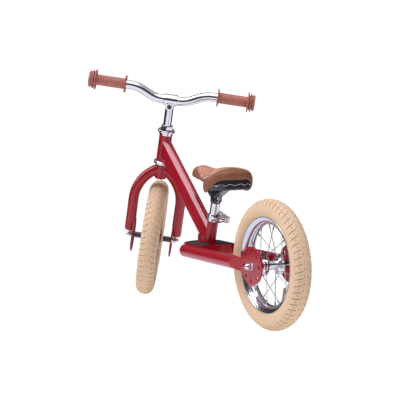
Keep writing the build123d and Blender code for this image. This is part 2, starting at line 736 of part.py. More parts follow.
def down_tube_run(inset):
    """Flat-oval prism that runs past the seat tube's axis and past the head tube's axis."""
    low = Vector(SEAT_TUBE_X, 0, DECK_TOP) + SEAT_AXIS * DOWN_TUBE_AT_SEAT
    high = Vector(HEAD_X, 0, HEAD_Z) + HEAD_AXIS * DOWN_TUBE_AT_HEAD
    run = high - low
    overrun = run.normalized() * DOWN_TUBE_HALF_H
    across_run = Vector(0, 1, 0).cross(run)
    start = Plane(low - overrun, x_dir=across_run, z_dir=run)
    return extrude(start * down_tube_profile(inset), run.length + 2 * DOWN_TUBE_HALF_H)


def make_down_tube():
    """Flat-oval tube, mitred to the head tube, the seat tube and the footrest."""
    tube = down_tube_run(0) - down_tube_run(DOWN_TUBE_WALL)
    head = HEAD_FRAME * disc(HEAD_TUBE_R, HEAD_BASE, HEAD_TOP)
    cup = HEAD_FRAME * disc(CUP_R + RUN_GAP, LOWER_CUP_BASE, HEAD_BASE + RUN_GAP)
    size = 6 * DOWN_TUBE_HALF_H
    ahead = HEAD_FRAME * Box(size, size, 2 * size, align=(Align.MIN, Align.CENTER, Align.CENTER))
    behind = SEAT_FRAME * Box(size, size, 2 * size, align=(Align.MAX, Align.CENTER, Align.CENTER))
    tube = tube - head - cup - ahead - behind - seat_tube_envelope() - boss_envelope()
    return largest(above_deck(tube))


def boss_envelope():
    return Pos(FRAME_BOSS_X, 0, DECK_TOP) * disc(FRAME_BOSS_R, 0, FRAME_BOSS_H)


def make_frame_boss():
    """Round foot under the down tube that the frame bolt screws into."""
    return largest(boss_envelope() - seat_tube_envelope() - frame_bolt_hole(FRAME_BOLT_R))


def frame_bolt_hole(radius):
    length = SLEEVE_LEN + FRAME_BOLT_GRIP
    return Pos(FRAME_BOSS_X, 0, DECK_TOP - SLEEVE_LEN) * disc(radius, 0, length)


# Rear frame


def make_stay():
    """Left stay: closed and rounded in front, bevelled both sides behind to take the axle plate."""
    bevel_end = PLATE_R
    bevel_start = bevel_end + STAY_BEVEL_LEN
    tube = Rot(0, 90, 0) * disc(STAY_R, 0, STAY_FRONT_X)
    tube = fillet(tube.edges().sort_by(Axis.X)[-1], STAY_NOSE_R)
    bore = Rot(0, 90, 0) * disc(STAY_R - STAY_WALL, bevel_start + STAY_PLUG_LEN, STAY_FRONT_X - 2 * STAY_NOSE_R)
    side = STAY_R + STAY_WALL
    slope = (STAY_R - PLATE_T / 2) / STAY_BEVEL_LEN
    reach = STAY_R + slope * STAY_WALL
    nose = Polyline(
        (0, 0),
        (0, side),
        (bevel_start + STAY_WALL, side),
        (bevel_start + STAY_WALL, reach),
        (bevel_end, PLATE_T / 2),
        (bevel_end - STAY_BEVEL_LEN / 4, PLATE_T / 2),
        (bevel_end - STAY_BEVEL_LEN / 4, 0),
        close=True,
    )
    bevel = extrude(make_face(nose), 2 * side, both=True)
    tube = tube - bore - bevel - mirror(bevel, Plane.XZ)
    return largest(Pos(0, PLATE_Y, AXLE_Z) * tube - Pos(0, 0, AXLE_Z) * plate_envelope())


def deck_outline(inset, rear_inset):
    """Deck seen from above: bowed out in front, scooped in behind the seat tube."""
    half = PLATE_Y - inset
    front = DECK_FRONT_X - inset
    rear = DECK_REAR_X + rear_inset
    outline = [
        Line((rear, half), (front, half)),
        ThreePointArc((front, half), (front + DECK_BOW, 0), (front, -half)),
        Line((front, -half), (rear, -half)),
        ThreePointArc((rear, -half), (rear + DECK_SCOOP, 0), (rear, half)),
    ]
    deck = make_face(Curve(outline).edges())
    deck = fillet(deck.vertices().sort_by(Axis.X)[-2:], DECK_FRONT_ROUND)
    return fillet(deck.vertices().sort_by(Axis.X)[:2], DECK_REAR_ROUND)


def make_footrest():
    """Deck plate across the stays, flanged down between them, with the sleeve for the frame bolt."""
    under = DECK_TOP - DECK_T
    outline = deck_outline(0, 0)
    strips = [outline - Pos(step, 0, 0) * outline for step in (DECK_T, -DECK_T)]
    between = Pos(DECK_REAR_X, 0, under) * Box(
        2 * DECK_FRONT_X, 2 * (PLATE_Y - STAY_R), DECK_FLANGE_H, align=(Align.CENTER, Align.CENTER, Align.MAX)
    )
    flanges = [between & (Pos(0, 0, under) * extrude(strip, -DECK_FLANGE_H)) for strip in strips]
    plate = Pos(0, 0, under) * extrude(outline, DECK_T)
    sleeve = Pos(FRAME_BOSS_X, 0, under) * disc(SLEEVE_R, DECK_T - SLEEVE_LEN, 0)
    stay = Pos(0, PLATE_Y, AXLE_Z) * Rot(0, 90, 0) * disc(STAY_R, 0, DECK_FRONT_X)
    return plate + flanges + sleeve - frame_bolt_hole(FRAME_BOLT_R) - mirrored_pair(stay)


def make_grip_tape():
    tape = Pos(0, 0, DECK_TOP) * extrude(deck_outline(TAPE_INSET, TAPE_REAR_INSET), TAPE_T)
    foot = Pos(FRAME_BOSS_X, 0, DECK_TOP) * disc(FRAME_BOSS_R + RUN_GAP, 0, TAPE_T)
    post_foot = SEAT_FRAME * disc(SEAT_TUBE_R + RUN_GAP, -SEAT_TUBE_R, SEAT_TUBE_R)
    return tape - foot - post_foot - down_tube_run(-RUN_GAP)


def make_frame_bolt():
    """Dome-headed bolt that holds the rear frame up against the main frame."""
    low = DECK_TOP - SLEEVE_LEN
    head = disc(FRAME_BOLT_HEAD_R, low - FRAME_BOLT_HEAD_H, low)
    head = fillet(head.edges().sort_by(Axis.Z)[0], FRAME_BOLT_DOME_R)
    shank_end = DECK_TOP + FRAME_BOLT_GRIP
    return Pos(FRAME_BOSS_X, 0, 0) * (head + disc(FRAME_BOLT_R, low, shank_end))


# Seat clamp


COLLAR_R = SEAT_TUBE_R + COLLAR_WALL
COLLAR_BASE = SEAT_TUBE_LEN - COLLAR_H
SKEWER_Z = SEAT_TUBE_LEN - COLLAR_H / 2
EAR_OUTER = EAR_GAP / 2 + EAR_T
LEVER_Y = -(EAR_OUTER + CAM_WASHER_H + RUN_GAP + LEVER_HUB_R)


def make_seat_collar():
    """Split collar with two ears behind, pulled together by the skewer."""
    collar = disc(COLLAR_R, COLLAR_BASE, SEAT_TUBE_LEN)
    ears = Pos(0, 0, SKEWER_Z) * Box(
        EAR_REACH, 2 * EAR_OUTER, COLLAR_H, align=(Align.MAX, Align.CENTER, Align.CENTER)
    )
    ears = fillet(ears.edges().filter_by(Axis.Y).sort_by(Axis.X)[:2], COLLAR_H / 3)
    gap = Pos(0, 0, COLLAR_BASE) * Box(2 * EAR_REACH, EAR_GAP, COLLAR_H, align=(Align.MAX, Align.CENTER, Align.MIN))
    skewer_hole = Pos(-SKEWER_BEHIND, 0, SKEWER_Z) * across(disc(SKEWER_R, -EAR_REACH, EAR_REACH))
    return collar + ears - disc(SEAT_TUBE_R, COLLAR_BASE, SEAT_TUBE_LEN) - gap - skewer_hole


def make_skewer():
    """Bolt through the ears: domed cap on the left, cam washer and pivot eye on the right."""
    cap = disc(SKEWER_CAP_R, EAR_OUTER, EAR_OUTER + SKEWER_CAP_H)
    cap = fillet(cap.edges().sort_by(Axis.Z)[-1], SKEWER_CAP_H / 2)
    washer = disc(SKEWER_CAP_R, -EAR_OUTER - CAM_WASHER_H, -EAR_OUTER)
    body = across(cap + washer + disc(SKEWER_R, LEVER_Y, EAR_OUTER))
    eye_h = LEVER_SLOT - 2 * RUN_GAP
    eye = Pos(0, LEVER_Y, 0) * disc(LEVER_HUB_R - RUN_GAP, -eye_h / 2, eye_h / 2)
    pin = Pos(0, LEVER_Y, 0) * disc(LEVER_PIN_R, -LEVER_H / 2, LEVER_H / 2)
    return Pos(-SKEWER_BEHIND, 0, SKEWER_Z) * (body + eye + pin)


def make_lever():
    """Quick-release lever: forked cam round the pivot pin and a curved paddle lying forward."""
    cam = disc(LEVER_HUB_R, -LEVER_H / 2, LEVER_H / 2)
    paddle_y = -LEVER_HUB_R / 2
    arm = Pos(0, paddle_y, -LEVER_H / 2) * Box(LEVER_LEN, LEVER_T, LEVER_H, align=(Align.MIN, Align.CENTER, Align.MIN))
    arm = fillet(arm.edges().filter_by(Axis.Y).sort_by(Axis.X)[-2:], LEVER_TIP_R)
    hollow = Pos(LEVER_CURVE_AT, paddle_y + LEVER_LEN + LEVER_T / 5, 0) * Cylinder(LEVER_LEN, LEVER_H)
    slot = disc(LEVER_HUB_R + RUN_GAP, -LEVER_SLOT / 2, LEVER_SLOT / 2)
    lever = cam + arm - hollow - slot - disc(LEVER_PIN_R + SHAFT_GAP, -LEVER_H, LEVER_H)
    return Pos(-SKEWER_BEHIND, LEVER_Y, SKEWER_Z) * lever


# Saddle, placed from the middle of its clamp on the post


CLAMP_POINT = Vector(SEAT_TUBE_X, 0, DECK_TOP) + SEAT_AXIS * CLAMP_AT
SADDLE_FRAME = Pos(CLAMP_POINT)

# Share of the length from rear to nose, share of the half width, share of the top width,
# drop of the crown below the saddle top and height of the lower edge above the clamp.
SADDLE_STATIONS = [
    (0.0, 0.46, 0.72, 10.0, 51.0),
    (0.06, 0.80, 0.78, 2.0, 39.0),
    (0.12, 0.96, 0.80, 0.0, 26.5),
    (0.22, 1.0, 0.78, 1.0, 14.0),
    (0.33, 0.86, 0.77, 6.0, 20.0),
    (0.42, 0.69, 0.76, 10.0, 26.5),
    (0.55, 0.53, 0.72, 10.0, 33.0),
    (0.69, 0.44, 0.68, 8.0, 37.5),
    (0.83, 0.39, 0.66, 6.5, 40.0),
    (0.94, 0.32, 0.64, 9.5, 42.0),
    (1.0, 0.17, 0.58, 20.0, 47.0),
]

# Share of the length, share of the half width, height of the lower edge and of the top of the pan.
PAN_STATIONS = [
    (0.03, 0.60, 24.0, 58.0),
    (0.08, 0.86, 23.0, 56.0),
    (0.14, 0.95, 23.0, 50.0),
    (0.22, 0.97, 23.0, 42.0),
    (0.33, 0.83, 24.0, 42.0),
    (0.42, 0.66, 27.0, 44.0),
    (0.55, 0.51, 32.5, 47.0),
    (0.69, 0.42, 37.0, 51.0),
    (0.83, 0.37, 39.5, 53.0),
    (0.94, 0.30, 42.0, 53.0),
]


def saddle_plane(share):
    """Plane across the saddle, a share of the way from its rear to its nose."""
    return Plane((SADDLE_REAR + share * (SADDLE_NOSE - SADDLE_REAR), 0, 0), x_dir=(0, 1, 0), z_dir=(1, 0, 0))


def saddle_section(share, width, top_width, drop, edge):
    """Crowned section across the saddle: flat below, drawn-in sides and an arched top."""
    half = width * SADDLE_HALF_W
    shoulder = half * top_width
    foot = half * SADDLE_TUCK
    top = SADDLE_TOP - drop
    shoulder_z = top - (top - edge) * SADDLE_CROWN
    side_z = edge + (top - edge) * SADDLE_BULGE_AT
    outline = [
        Line((-foot, edge), (foot, edge)),
        ThreePointArc((foot, edge), (half, side_z), (shoulder, shoulder_z)),
        ThreePointArc((shoulder, shoulder_z), (0, top), (-shoulder, shoulder_z)),
        ThreePointArc((-shoulder, shoulder_z), (-half, side_z), (-foot, edge)),
    ]
    return saddle_plane(share) * make_face(Curve(outline).edges())


def pan_section(share, width, low, high, inset, wall, open_below):
    """Section of the pan: narrow below, widest at mid height, or the same carried down to the clamp."""
    half = width * SADDLE_HALF_W - inset - wall
    side = [(half * PAN_FOOT, low), (half, (low + high) / 2), (half * PAN_FOOT, high - wall)]
    if open_below:
        side = [(half * PAN_FOOT, 0), *side]
    outline = Polyline(*side, *[(-y, z) for y, z in reversed(side)], close=True)
    return saddle_plane(share) * make_face(outline)


def pan_body(wall=0.0, open_below=False):
    """Tray-shaped body under the cushion, from just inside the rear edge to just inside the nose."""
    shift = wall / (SADDLE_NOSE - SADDLE_REAR)
    first, *middle, last = PAN_STATIONS
    stations = [(first[0] + shift, *first[1:]), *middle, (last[0] - shift, *last[1:])]
    return loft([pan_section(*station, PAN_INSET, wall, open_below) for station in stations], ruled=True)


def make_saddle_cover():
    """Padded cover: a crowned loft from the raised rear to the raised nose, open below over the pan."""
    cushion = loft([saddle_section(*station) for station in SADDLE_STATIONS])
    return SADDLE_FRAME * largest(cushion - pan_body(open_below=True))


def seat_in_saddle(shape):
    """Place a solid built along the post into the saddle's frame."""
    return Pos(-CLAMP_POINT) * SEAT_FRAME * shape


def clamp_bolt_hole():
    return Rot(0, 90, 0) * disc(SADDLE_BOLT_R, -CLAMP_HALF, CLAMP_HALF)


def make_keel():
    """Web along the middle of the pan that carries its load down to the clamp."""
    side = Polyline(
        (KEEL_REAR, SADDLE_TOP),
        (KEEL_REAR, KEEL_HIGH),
        (-CLAMP_R, KEEL_LOW),
        (CLAMP_R, KEEL_LOW),
        (KEEL_FRONT, KEEL_HIGH),
        (KEEL_FRONT, SADDLE_TOP),
        close=True,
    )
    return extrude(Plane.XZ * make_face(side), KEEL_HALF_W, both=True)


def make_saddle_pan():
    """Moulded pan, open and ribbed below, with the round block that clamps the post."""
    outer = pan_body()
    inside = pan_body(open_below=True)
    hollow = pan_body(PAN_WALL, open_below=True)
    length = SADDLE_NOSE - SADDLE_REAR
    rib = Box(PAN_RIB_T, 2 * SADDLE_HALF_W, 2 * SADDLE_TOP)
    ribs = [Pos(SADDLE_REAR + length * (index + 1) / (PAN_RIBS + 1), 0, 0) * rib for index in range(PAN_RIBS)]
    spine = Box(2 * length, PAN_RIB_T, 2 * SADDLE_TOP)
    web = (outer & (spine + ribs)) - Pos(0, 0, -PAN_RIB_H) * outer
    column = disc(CLAMP_R, -CLAMP_H / 2, SADDLE_TOP)
    below = disc(CLAMP_R, -CLAMP_H / 2, 0)
    carrier = ((make_keel() + column) & inside) + below
    sleeve_top = CLAMP_AT - CLAMP_H / 2
    sleeve = seat_in_saddle(disc(CLAMP_SLEEVE_R, sleeve_top - CLAMP_SLEEVE_H, sleeve_top))
    post = seat_in_saddle(disc(POST_R, 0, POST_TOP))
    spot = Rot(0, 90, 0) * disc(CLAMP_R / 2, CLAMP_HALF, 2 * CLAMP_R)
    spots = [spot, mirror(spot, Plane.YZ)]
    return SADDLE_FRAME * largest(outer - hollow + web + carrier + sleeve - post - clamp_bolt_hole() - spots)


def make_saddle_bolt():
    """Socket-headed bolt through the clamp and the post, with its nut in front."""
    head_end = -CLAMP_HALF - SADDLE_BOLT_HEAD_H
    head = disc(SADDLE_BOLT_HEAD_R, head_end, -CLAMP_HALF)
    head = fillet(head.edges().sort_by(Axis.Z)[0], SADDLE_BOLT_HEAD_H / 4)
    head = head - hexagon(SADDLE_BOLT_FLATS, head_end, head_end + SADDLE_BOLT_HEAD_H / 2)
    nut = hexagon(2 * SADDLE_BOLT_HEAD_R, CLAMP_HALF, CLAMP_HALF + SADDLE_BOLT_HEAD_H)
    return SADDLE_FRAME * Rot(0, 90, 0) * (head + disc(SADDLE_BOLT_R, -CLAMP_HALF, CLAMP_HALF) + nut)


def make_seatpost():
    post = SEAT_FRAME * ring(POST_R, POST_R - POST_WALL, POST_BOTTOM, POST_TOP)
    return post - SADDLE_FRAME * clamp_bolt_hole()


# Assembly


def left_and_right(name, left):
    return {f"left_{name}": [left], f"right_{name}": [mirror(left, Plane.XZ)]}


def axle_set(prefix):
    return {
        **left_and_right(f"{prefix}_axle_plate", make_axle_plate()),
        f"{prefix}_axle": [make_axle()],
        f"{prefix}_axle_spacers": make_axle_spacers(),
        f"{prefix}_axle_nuts": make_axle_nuts(),
    }


def placed(frame, nodes):
    return {name: [frame * solid for solid in solids] for name, solids in nodes.items()}


def build():
    """Every node of the bike as a list of solids, in the frame of the whole bike."""
    wheel = make_wheel()
    nodes = {
        **placed(REAR_WHEEL_FRAME, {f"rear_{name}": solids for name, solids in wheel.items()}),
        **placed(FRONT_WHEEL_FRAME, {f"front_{name}": solids for name, solids in wheel.items()}),
        **placed(REAR_WHEEL_FRAME, axle_set("rear")),
        **placed(FRONT_WHEEL_FRAME, axle_set("front")),
        **placed(HEAD_FRAME, {
            "head_tube": [make_head_tube()],
            "lower_headset_cup": [make_lower_cup()],
            "upper_headset_cup": [make_upper_cup()],
        }),
        **placed(FORK_FRAME, {
            "lower_bearing": [ball_ring(CROWN_RACE_TOP)],
            "upper_bearing": [ball_ring(ADJUSTER_BASE - BALL_RING_H)],
            "crown_race": [make_crown_race()],
            "adjusting_race": [make_adjuster()],
            "locknut": [make_locknut()],
            "steerer": [make_steerer()],
            "fork_crown": [make_crown()],
            **left_and_right("fork_leg", make_leg()),
            "stem": [make_stem()],
            "stem_clamp_bolt": [make_stem_bolt()],
            "stem_wedge": [make_wedge()],
            "stem_expander_bolt": [make_expander_bolt()],
            "handlebar": [make_handlebar()],
            **left_and_right("grip", make_grip()),
        }),
        "seat_tube": [make_seat_tube()],
        "down_tube": [make_down_tube()],
        "frame_boss": [make_frame_boss()],
        **left_and_right("stay", make_stay()),
        "footrest_plate": [make_footrest()],
        "grip_tape": [make_grip_tape()],
        "frame_bolt": [make_frame_bolt()],
        **placed(SEAT_FRAME, {
            "seat_collar": [make_seat_collar()],
            "qr_skewer": [make_skewer()],
            "qr_lever": [make_lever()],
        }),
        "seatpost": [make_seatpost()],
        "saddle_base": [make_saddle_pan()],
        "saddle_cover": [make_saddle_cover()],
        "saddle_clamp_bolt": [make_saddle_bolt()],
    }
    return placed(PLACE, nodes)


def save(name, shapes):
    solids = [solid for shape in shapes for solid in shape.solids()]
    export_step(solids[0] if len(solids) == 1 else Compound(solids), f"parts/{name}.step")


if __name__ == "__main__":
    os.makedirs("parts", exist_ok=True)
    for node_name, node_shapes in build().items():
        save(node_name, node_shapes)
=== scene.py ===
# %% [markdown]
# # A child's balance bike
#
# The bike's frame, fork, wheels and fittings are already modelled to size. This lesson loads them,
# gives every surface its finish, and shapes what the size model leaves plain: the tread on the
# tyres, the rolled rims, the square tube ends, and the soft saddle with its stitching and its pan.

# %% Load the sized model
import json
import math

import bpy
from mathutils import Matrix, Vector


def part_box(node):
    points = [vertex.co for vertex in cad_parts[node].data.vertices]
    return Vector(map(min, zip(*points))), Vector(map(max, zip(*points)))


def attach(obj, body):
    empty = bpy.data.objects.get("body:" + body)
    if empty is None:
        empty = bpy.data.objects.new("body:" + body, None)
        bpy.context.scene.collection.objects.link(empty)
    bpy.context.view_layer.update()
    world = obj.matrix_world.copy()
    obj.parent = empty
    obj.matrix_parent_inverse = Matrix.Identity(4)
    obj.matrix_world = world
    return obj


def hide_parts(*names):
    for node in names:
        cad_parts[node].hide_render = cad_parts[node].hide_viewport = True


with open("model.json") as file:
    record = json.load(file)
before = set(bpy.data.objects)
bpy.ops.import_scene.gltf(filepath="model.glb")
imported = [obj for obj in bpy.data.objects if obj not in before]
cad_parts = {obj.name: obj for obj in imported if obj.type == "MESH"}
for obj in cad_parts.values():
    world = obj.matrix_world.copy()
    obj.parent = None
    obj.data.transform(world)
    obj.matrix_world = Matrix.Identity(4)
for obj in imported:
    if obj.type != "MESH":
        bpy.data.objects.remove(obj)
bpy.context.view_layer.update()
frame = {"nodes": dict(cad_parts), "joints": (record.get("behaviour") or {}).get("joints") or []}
nodes = frame["nodes"]
joints = {joint["name"]: joint for joint in frame["joints"]}
MM = 0.001

# %% [markdown]
# ## Where the wheels are
#
# The rear wheel stands square, while the front wheel is turned and leans with the steering axis.
# A wheel is easiest to shape about its own axle, so each one gets a matrix that carries a mesh
# from that simple place to its real one. The joints already know the axles.

# %% Wheel places


def placing(origin, side, up):
    """Matrix whose Y axis lies along an axle and whose Z axis points up the wheel."""
    side = Vector(side).normalized()
    up = Vector(up).normalized()
    turn = Matrix((side.cross(up), side, up)).transposed().to_4x4()
    return Matrix.Translation(Vector(origin)) @ turn


rear_spin = joints["rear_wheel_spin"]
front_spin = joints["front_wheel_spin"]
REAR_WHEEL = placing(rear_spin["pos_m"], rear_spin["axis"], (0, 0, 1))
FRONT_WHEEL = placing(front_spin["pos_m"], front_spin["axis"], joints["steering"]["axis"])
print("rear axle", REAR_WHEEL.translation, "front axle", FRONT_WHEEL.translation)

# %% [markdown]
# ## Working as by hand
#
# Every operator acts on what is selected, so a few helpers keep that tidy: one selects a single
# object, one opens it in edit mode, and one picks faces by where they are.

# %% Selection helpers
WELD_GAP = 1e-6
FINE_WELD_GAP = 1e-7
COARSE_WELD_GAP = 1e-5


def only(obj):
    bpy.ops.object.select_all(action="DESELECT")
    obj.select_set(True)
    bpy.context.view_layer.objects.active = obj


class Editing:
    """Edit mode on one object, left again at the end of the block."""

    def __init__(self, obj, mode="VERT"):
        self.obj = obj
        self.mode = mode

    def __enter__(self):
        only(self.obj)
        bpy.ops.object.mode_set(mode="EDIT")
        bpy.ops.mesh.select_mode(type=self.mode)

    def __exit__(self, *problem):
        bpy.ops.object.mode_set(mode="OBJECT")


def pick_faces(obj, wanted):
    """Select just the faces whose centre and normal pass the test."""
    mesh = obj.data
    for group in (mesh.vertices, mesh.edges):
        group.foreach_set("select", [False] * len(group))
    chosen = [wanted(face.center, face.normal) for face in mesh.polygons]
    mesh.polygons.foreach_set("select", chosen)
    return sum(chosen)


def apply_modifiers(obj):
    only(obj)
    for modifier in list(obj.modifiers):
        bpy.ops.object.modifier_apply(modifier=modifier.name)


def smooth(obj, angle=35):
    only(obj)
    bpy.ops.object.shade_smooth_by_angle(angle=math.radians(angle))


def tidy_shell(obj, gap=WELD_GAP):
    """Weld points that lie together, and turn all faces outwards."""
    with Editing(obj):
        bpy.ops.mesh.select_all(action="SELECT")
        bpy.ops.mesh.remove_doubles(threshold=gap)
        bpy.ops.mesh.normals_make_consistent(inside=False)


def keep(obj, name, values):
    """Keep one number for each vertex, for the material to read."""
    obj.data.attributes.new(name, "FLOAT", "POINT").data.foreach_set("value", values)


def chain(name, points):
    """A run of edges, drawn by extruding one vertex from point to point."""
    bpy.ops.object.select_all(action="DESELECT")
    bpy.ops.mesh.primitive_plane_add(size=MM)
    obj = bpy.context.object
    obj.name = name
    with Editing(obj):
        bpy.ops.mesh.select_all(action="SELECT")
        bpy.ops.mesh.merge(type="CENTER")
        bpy.ops.transform.translate(value=points[0])
        for start, end in zip(points, points[1:]):
            move = Vector(end) - Vector(start)
            bpy.ops.mesh.extrude_region_move(TRANSFORM_OT_translate={"value": move})
    return obj


def lathe(name, outline, steps):
    """Turn a closed outline of (radius, along) points about the Y axis."""
    loop = list(outline) + [outline[0]]
    obj = chain(name, [(r, y, 0) for r, y in loop])
    with Editing(obj):
        bpy.ops.mesh.select_all(action="SELECT")
        bpy.ops.mesh.spin(steps=steps, angle=2 * math.pi, center=(0, 0, 0), axis=(0, 1, 0))
    tidy_shell(obj)
    return obj


# %% [markdown]
# ## Finishes as sums
#
# A material's nodes are easier to read as sums than as wires. `Val` wraps a socket so that
# ordinary arithmetic adds the Math nodes. `Nodes` adds every other node through one method, and
# `Finish` is such a tree for one material.

# %% The node wrappers


class Val:
    """A socket of a finish that takes part in sums as a number does."""

    def __init__(self, finish, socket):
        self.finish = finish
        self.socket = socket

    def math(self, operation, first, second):
        return self.finish.node("ShaderNodeMath", {"operation": operation}, {0: first, 1: second})

    def __add__(self, other):
        return self.math("ADD", self, other)

    def __radd__(self, other):
        return self.math("ADD", other, self)

    def __sub__(self, other):
        return self.math("SUBTRACT", self, other)

    def __rsub__(self, other):
        return self.math("SUBTRACT", other, self)

    def __mul__(self, other):
        return self.math("MULTIPLY", self, other)

    def __rmul__(self, other):
        return self.math("MULTIPLY", other, self)

    def __abs__(self):
        return self.math("ABSOLUTE", self, 0.0)

    def step(self, low, high):
        """0 below low and 1 above high, with a soft rise between."""
        settings = {"interpolation_type": "SMOOTHSTEP"}
        inputs = {0: self, 1: low, 2: high, 3: 0.0, 4: 1.0}
        return self.finish.node("ShaderNodeMapRange", settings, inputs)


class Nodes:
    """A node tree with one way to add nodes to it."""

    def __init__(self, tree):
        self.tree = tree

    def node(self, kind, settings=None, inputs=None, output=0):
        new = self.tree.nodes.new(kind)
        for key, value in (settings or {}).items():
            setattr(new, key, value)
        for key, value in (inputs or {}).items():
            self.feed(new.inputs[key], value)
        return Val(self, new.outputs[output])

    def feed(self, socket, value):
        if isinstance(value, Val):
            self.tree.links.new(value.socket, socket)
        else:
            socket.default_value = value

    def split(self, vector):
        """The three parts of a vector, each a value of its own."""
        parts = self.node("ShaderNodeSeparateXYZ", inputs={0: vector}).socket.node
        return [Val(self, parts.outputs[index]) for index in range(3)]


class Finish(Nodes):
    """One material and its shader."""

    def __init__(self, name, color, roughness, metallic=0.0, **sockets):
        self.material = bpy.data.materials.new(name)
        self.material.use_nodes = True
        super().__init__(self.material.node_tree)
        self.shader = self.tree.nodes["Principled BSDF"]
        self.set("Base Color", (*color, 1.0))
        self.set("Roughness", roughness)
        self.set("Metallic", metallic)
        for socket, value in sockets.items():
            self.set(socket.replace("_", " ").title().replace("Ior", "IOR"), value)

    def set(self, name, value):
        self.feed(self.shader.inputs[name], value)

    def place(self):
        return self.node("ShaderNodeTexCoord", output=3)

    def distance(self, point):
        """Metres from a fixed point of the object."""
        inputs = {0: self.place(), 1: point}
        return self.node("ShaderNodeVectorMath", {"operation": "DISTANCE"}, inputs, output=1)

    def noise(self, scale, detail=3.0, roughness=0.55):
        inputs = {"Vector": self.place(), "Scale": scale, "Detail": detail, "Roughness": roughness}
        return self.node("ShaderNodeTexNoise", inputs=inputs)

    def cells(self, scale):
        return self.node("ShaderNodeTexVoronoi", inputs={"Vector": self.place(), "Scale": scale})

    def attribute(self, name):
        """A number kept on each vertex of the mesh."""
        return self.node("ShaderNodeAttribute", {"attribute_name": name}, output=2)

    def blend(self, share, first, second):
        """Colour between two colours, by a share from 0 to 1."""
        pair = [color if isinstance(color, Val) else (*color, 1.0) for color in (first, second)]
        inputs = {0: share, 6: pair[0], 7: pair[1]}
        return self.node("ShaderNodeMix", {"data_type": "RGBA"}, inputs, output=2)

    def bump(self, height, strength, distance):
        inputs = {"Strength": strength, "Distance": distance, "Height": height}
        return self.node("ShaderNodeBump", inputs=inputs)


def wear(obj, finish):
    """Dress an object in one finish."""
    obj.data.materials.clear()
    obj.data.materials.append(finish.material)


def dress(finish, *names):
    """Dress nodes of the sized model in one finish."""
    for name in names:
        wear(nodes[name], finish)
    print(finish.material.name, "on", len(names), "nodes")


# %% [markdown]
# ## Red paint
#
# The frame is powder-coated a deep cherry red under a clear glossy layer. Such paint is never
# quite flat: it has a faint orange peel and slow changes of tone. So one fine noise feeds the
# normal, a slow one with a fine fleck feeds the colour, and another feeds the gloss.

# %% Paint for the frame
GLOSS = {"specular_ior_level": 0.15, "coat_weight": 1.0, "coat_roughness": 0.05}
paint = Finish("cherry_paint", (0.36, 0.001, 0.014), 0.4, **GLOSS)
tone = paint.noise(9.0, 2.0)
fleck = paint.noise(900.0, 1.0)
depth_of_tone = tone * 0.7 + fleck * 0.3
paint.set("Base Color", paint.blend(depth_of_tone, (0.30, 0.0, 0.009), (0.40, 0.001, 0.016)))
paint.set("Roughness", 0.32 + 0.16 * paint.noise(35.0, 4.0))
peel = paint.noise(420.0, 2.0)
paint.set("Normal", paint.bump(peel, 0.06, 0.0004))
dress(
    paint, "head_tube", "down_tube", "seat_tube", "frame_boss", "footrest_plate",
    "left_stay", "right_stay", "left_rear_axle_plate", "right_rear_axle_plate",
    "left_front_axle_plate", "right_front_axle_plate", "fork_crown", "left_fork_leg",
    "right_fork_leg",
)

# %% [markdown]
# ## Chrome and steel
#
# Chrome takes nearly all its look from what it mirrors. A slow change in roughness, like faint
# polishing haze, keeps it from looking like a perfect mirror. Spokes, axles and bearings are plain
# plated steel, duller and a little yellow.

# %% Chrome
chrome = Finish("chrome_plate", (0.83, 0.84, 0.87), 0.08, 1.0)
haze = chrome.noise(60.0, 5.0)
chrome.set("Roughness", 0.05 + 0.09 * haze)
chrome.set("Base Color", chrome.blend(haze, (0.74, 0.75, 0.79), (0.88, 0.89, 0.91)))
chrome.set("Normal", chrome.bump(chrome.noise(160.0, 2.0), 0.02, 0.0003))
dress(
    chrome, "rear_axle_nuts", "front_axle_nuts", "upper_headset_cup", "lower_headset_cup",
    "seat_collar", "qr_skewer", "adjusting_race", "locknut", "stem", "handlebar", "seatpost",
    "front_hub", "rear_hub",
)

# %% Plated steel
steel = Finish("plated_steel", (0.56, 0.55, 0.52), 0.3, 1.0)
grain = steel.noise(240.0, 6.0, 0.7)
steel.set("Roughness", 0.24 + 0.22 * grain)
steel.set("Base Color", steel.blend(grain, (0.46, 0.45, 0.43), (0.64, 0.63, 0.60)))
steel.set("Normal", steel.bump(grain, 0.08, 0.0002))
dress(
    steel, "rear_axle", "front_axle", "steerer", "stem_wedge", "stem_expander_bolt",
    "lower_bearing", "upper_bearing", "front_hub_bearings", "rear_hub_bearings", "crown_race",
    "front_spokes", "rear_spokes", "front_spoke_nipples", "rear_spoke_nipples",
)

# %% [markdown]
# ## Bolts and lever
#
# The bolts that show and the quick-release lever have a pale, frosty plating, which mirrors less
# than chrome. The saddle's bolt has a hexagon socket that is always in shadow, so the material
# darkens near the socket's middle, taken from the sized bolt. The stem's bolt is blackened.

# %% Bright zinc
SOCKET_R = 2.4 * MM
SOCKET_EDGE_R = 3.2 * MM
zinc = Finish("bright_zinc", (0.80, 0.80, 0.82), 0.42, 0.5)
frost = zinc.noise(380.0, 4.0)
zinc.set("Roughness", 0.34 + 0.18 * frost)
low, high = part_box("saddle_clamp_bolt")
SOCKET = (low[0], (low[1] + high[1]) / 2, (low[2] + high[2]) / 2)
in_socket = 1 - zinc.distance(SOCKET).step(SOCKET_R, SOCKET_EDGE_R)
plating = zinc.blend(frost, (0.78, 0.78, 0.81), (0.92, 0.92, 0.93))
zinc.set("Base Color", zinc.blend(in_socket, plating, (0.05, 0.05, 0.055)))
zinc.set("Normal", zinc.bump(frost, 0.05, 0.0002))
dress(zinc, "saddle_clamp_bolt", "frame_bolt", "qr_lever")

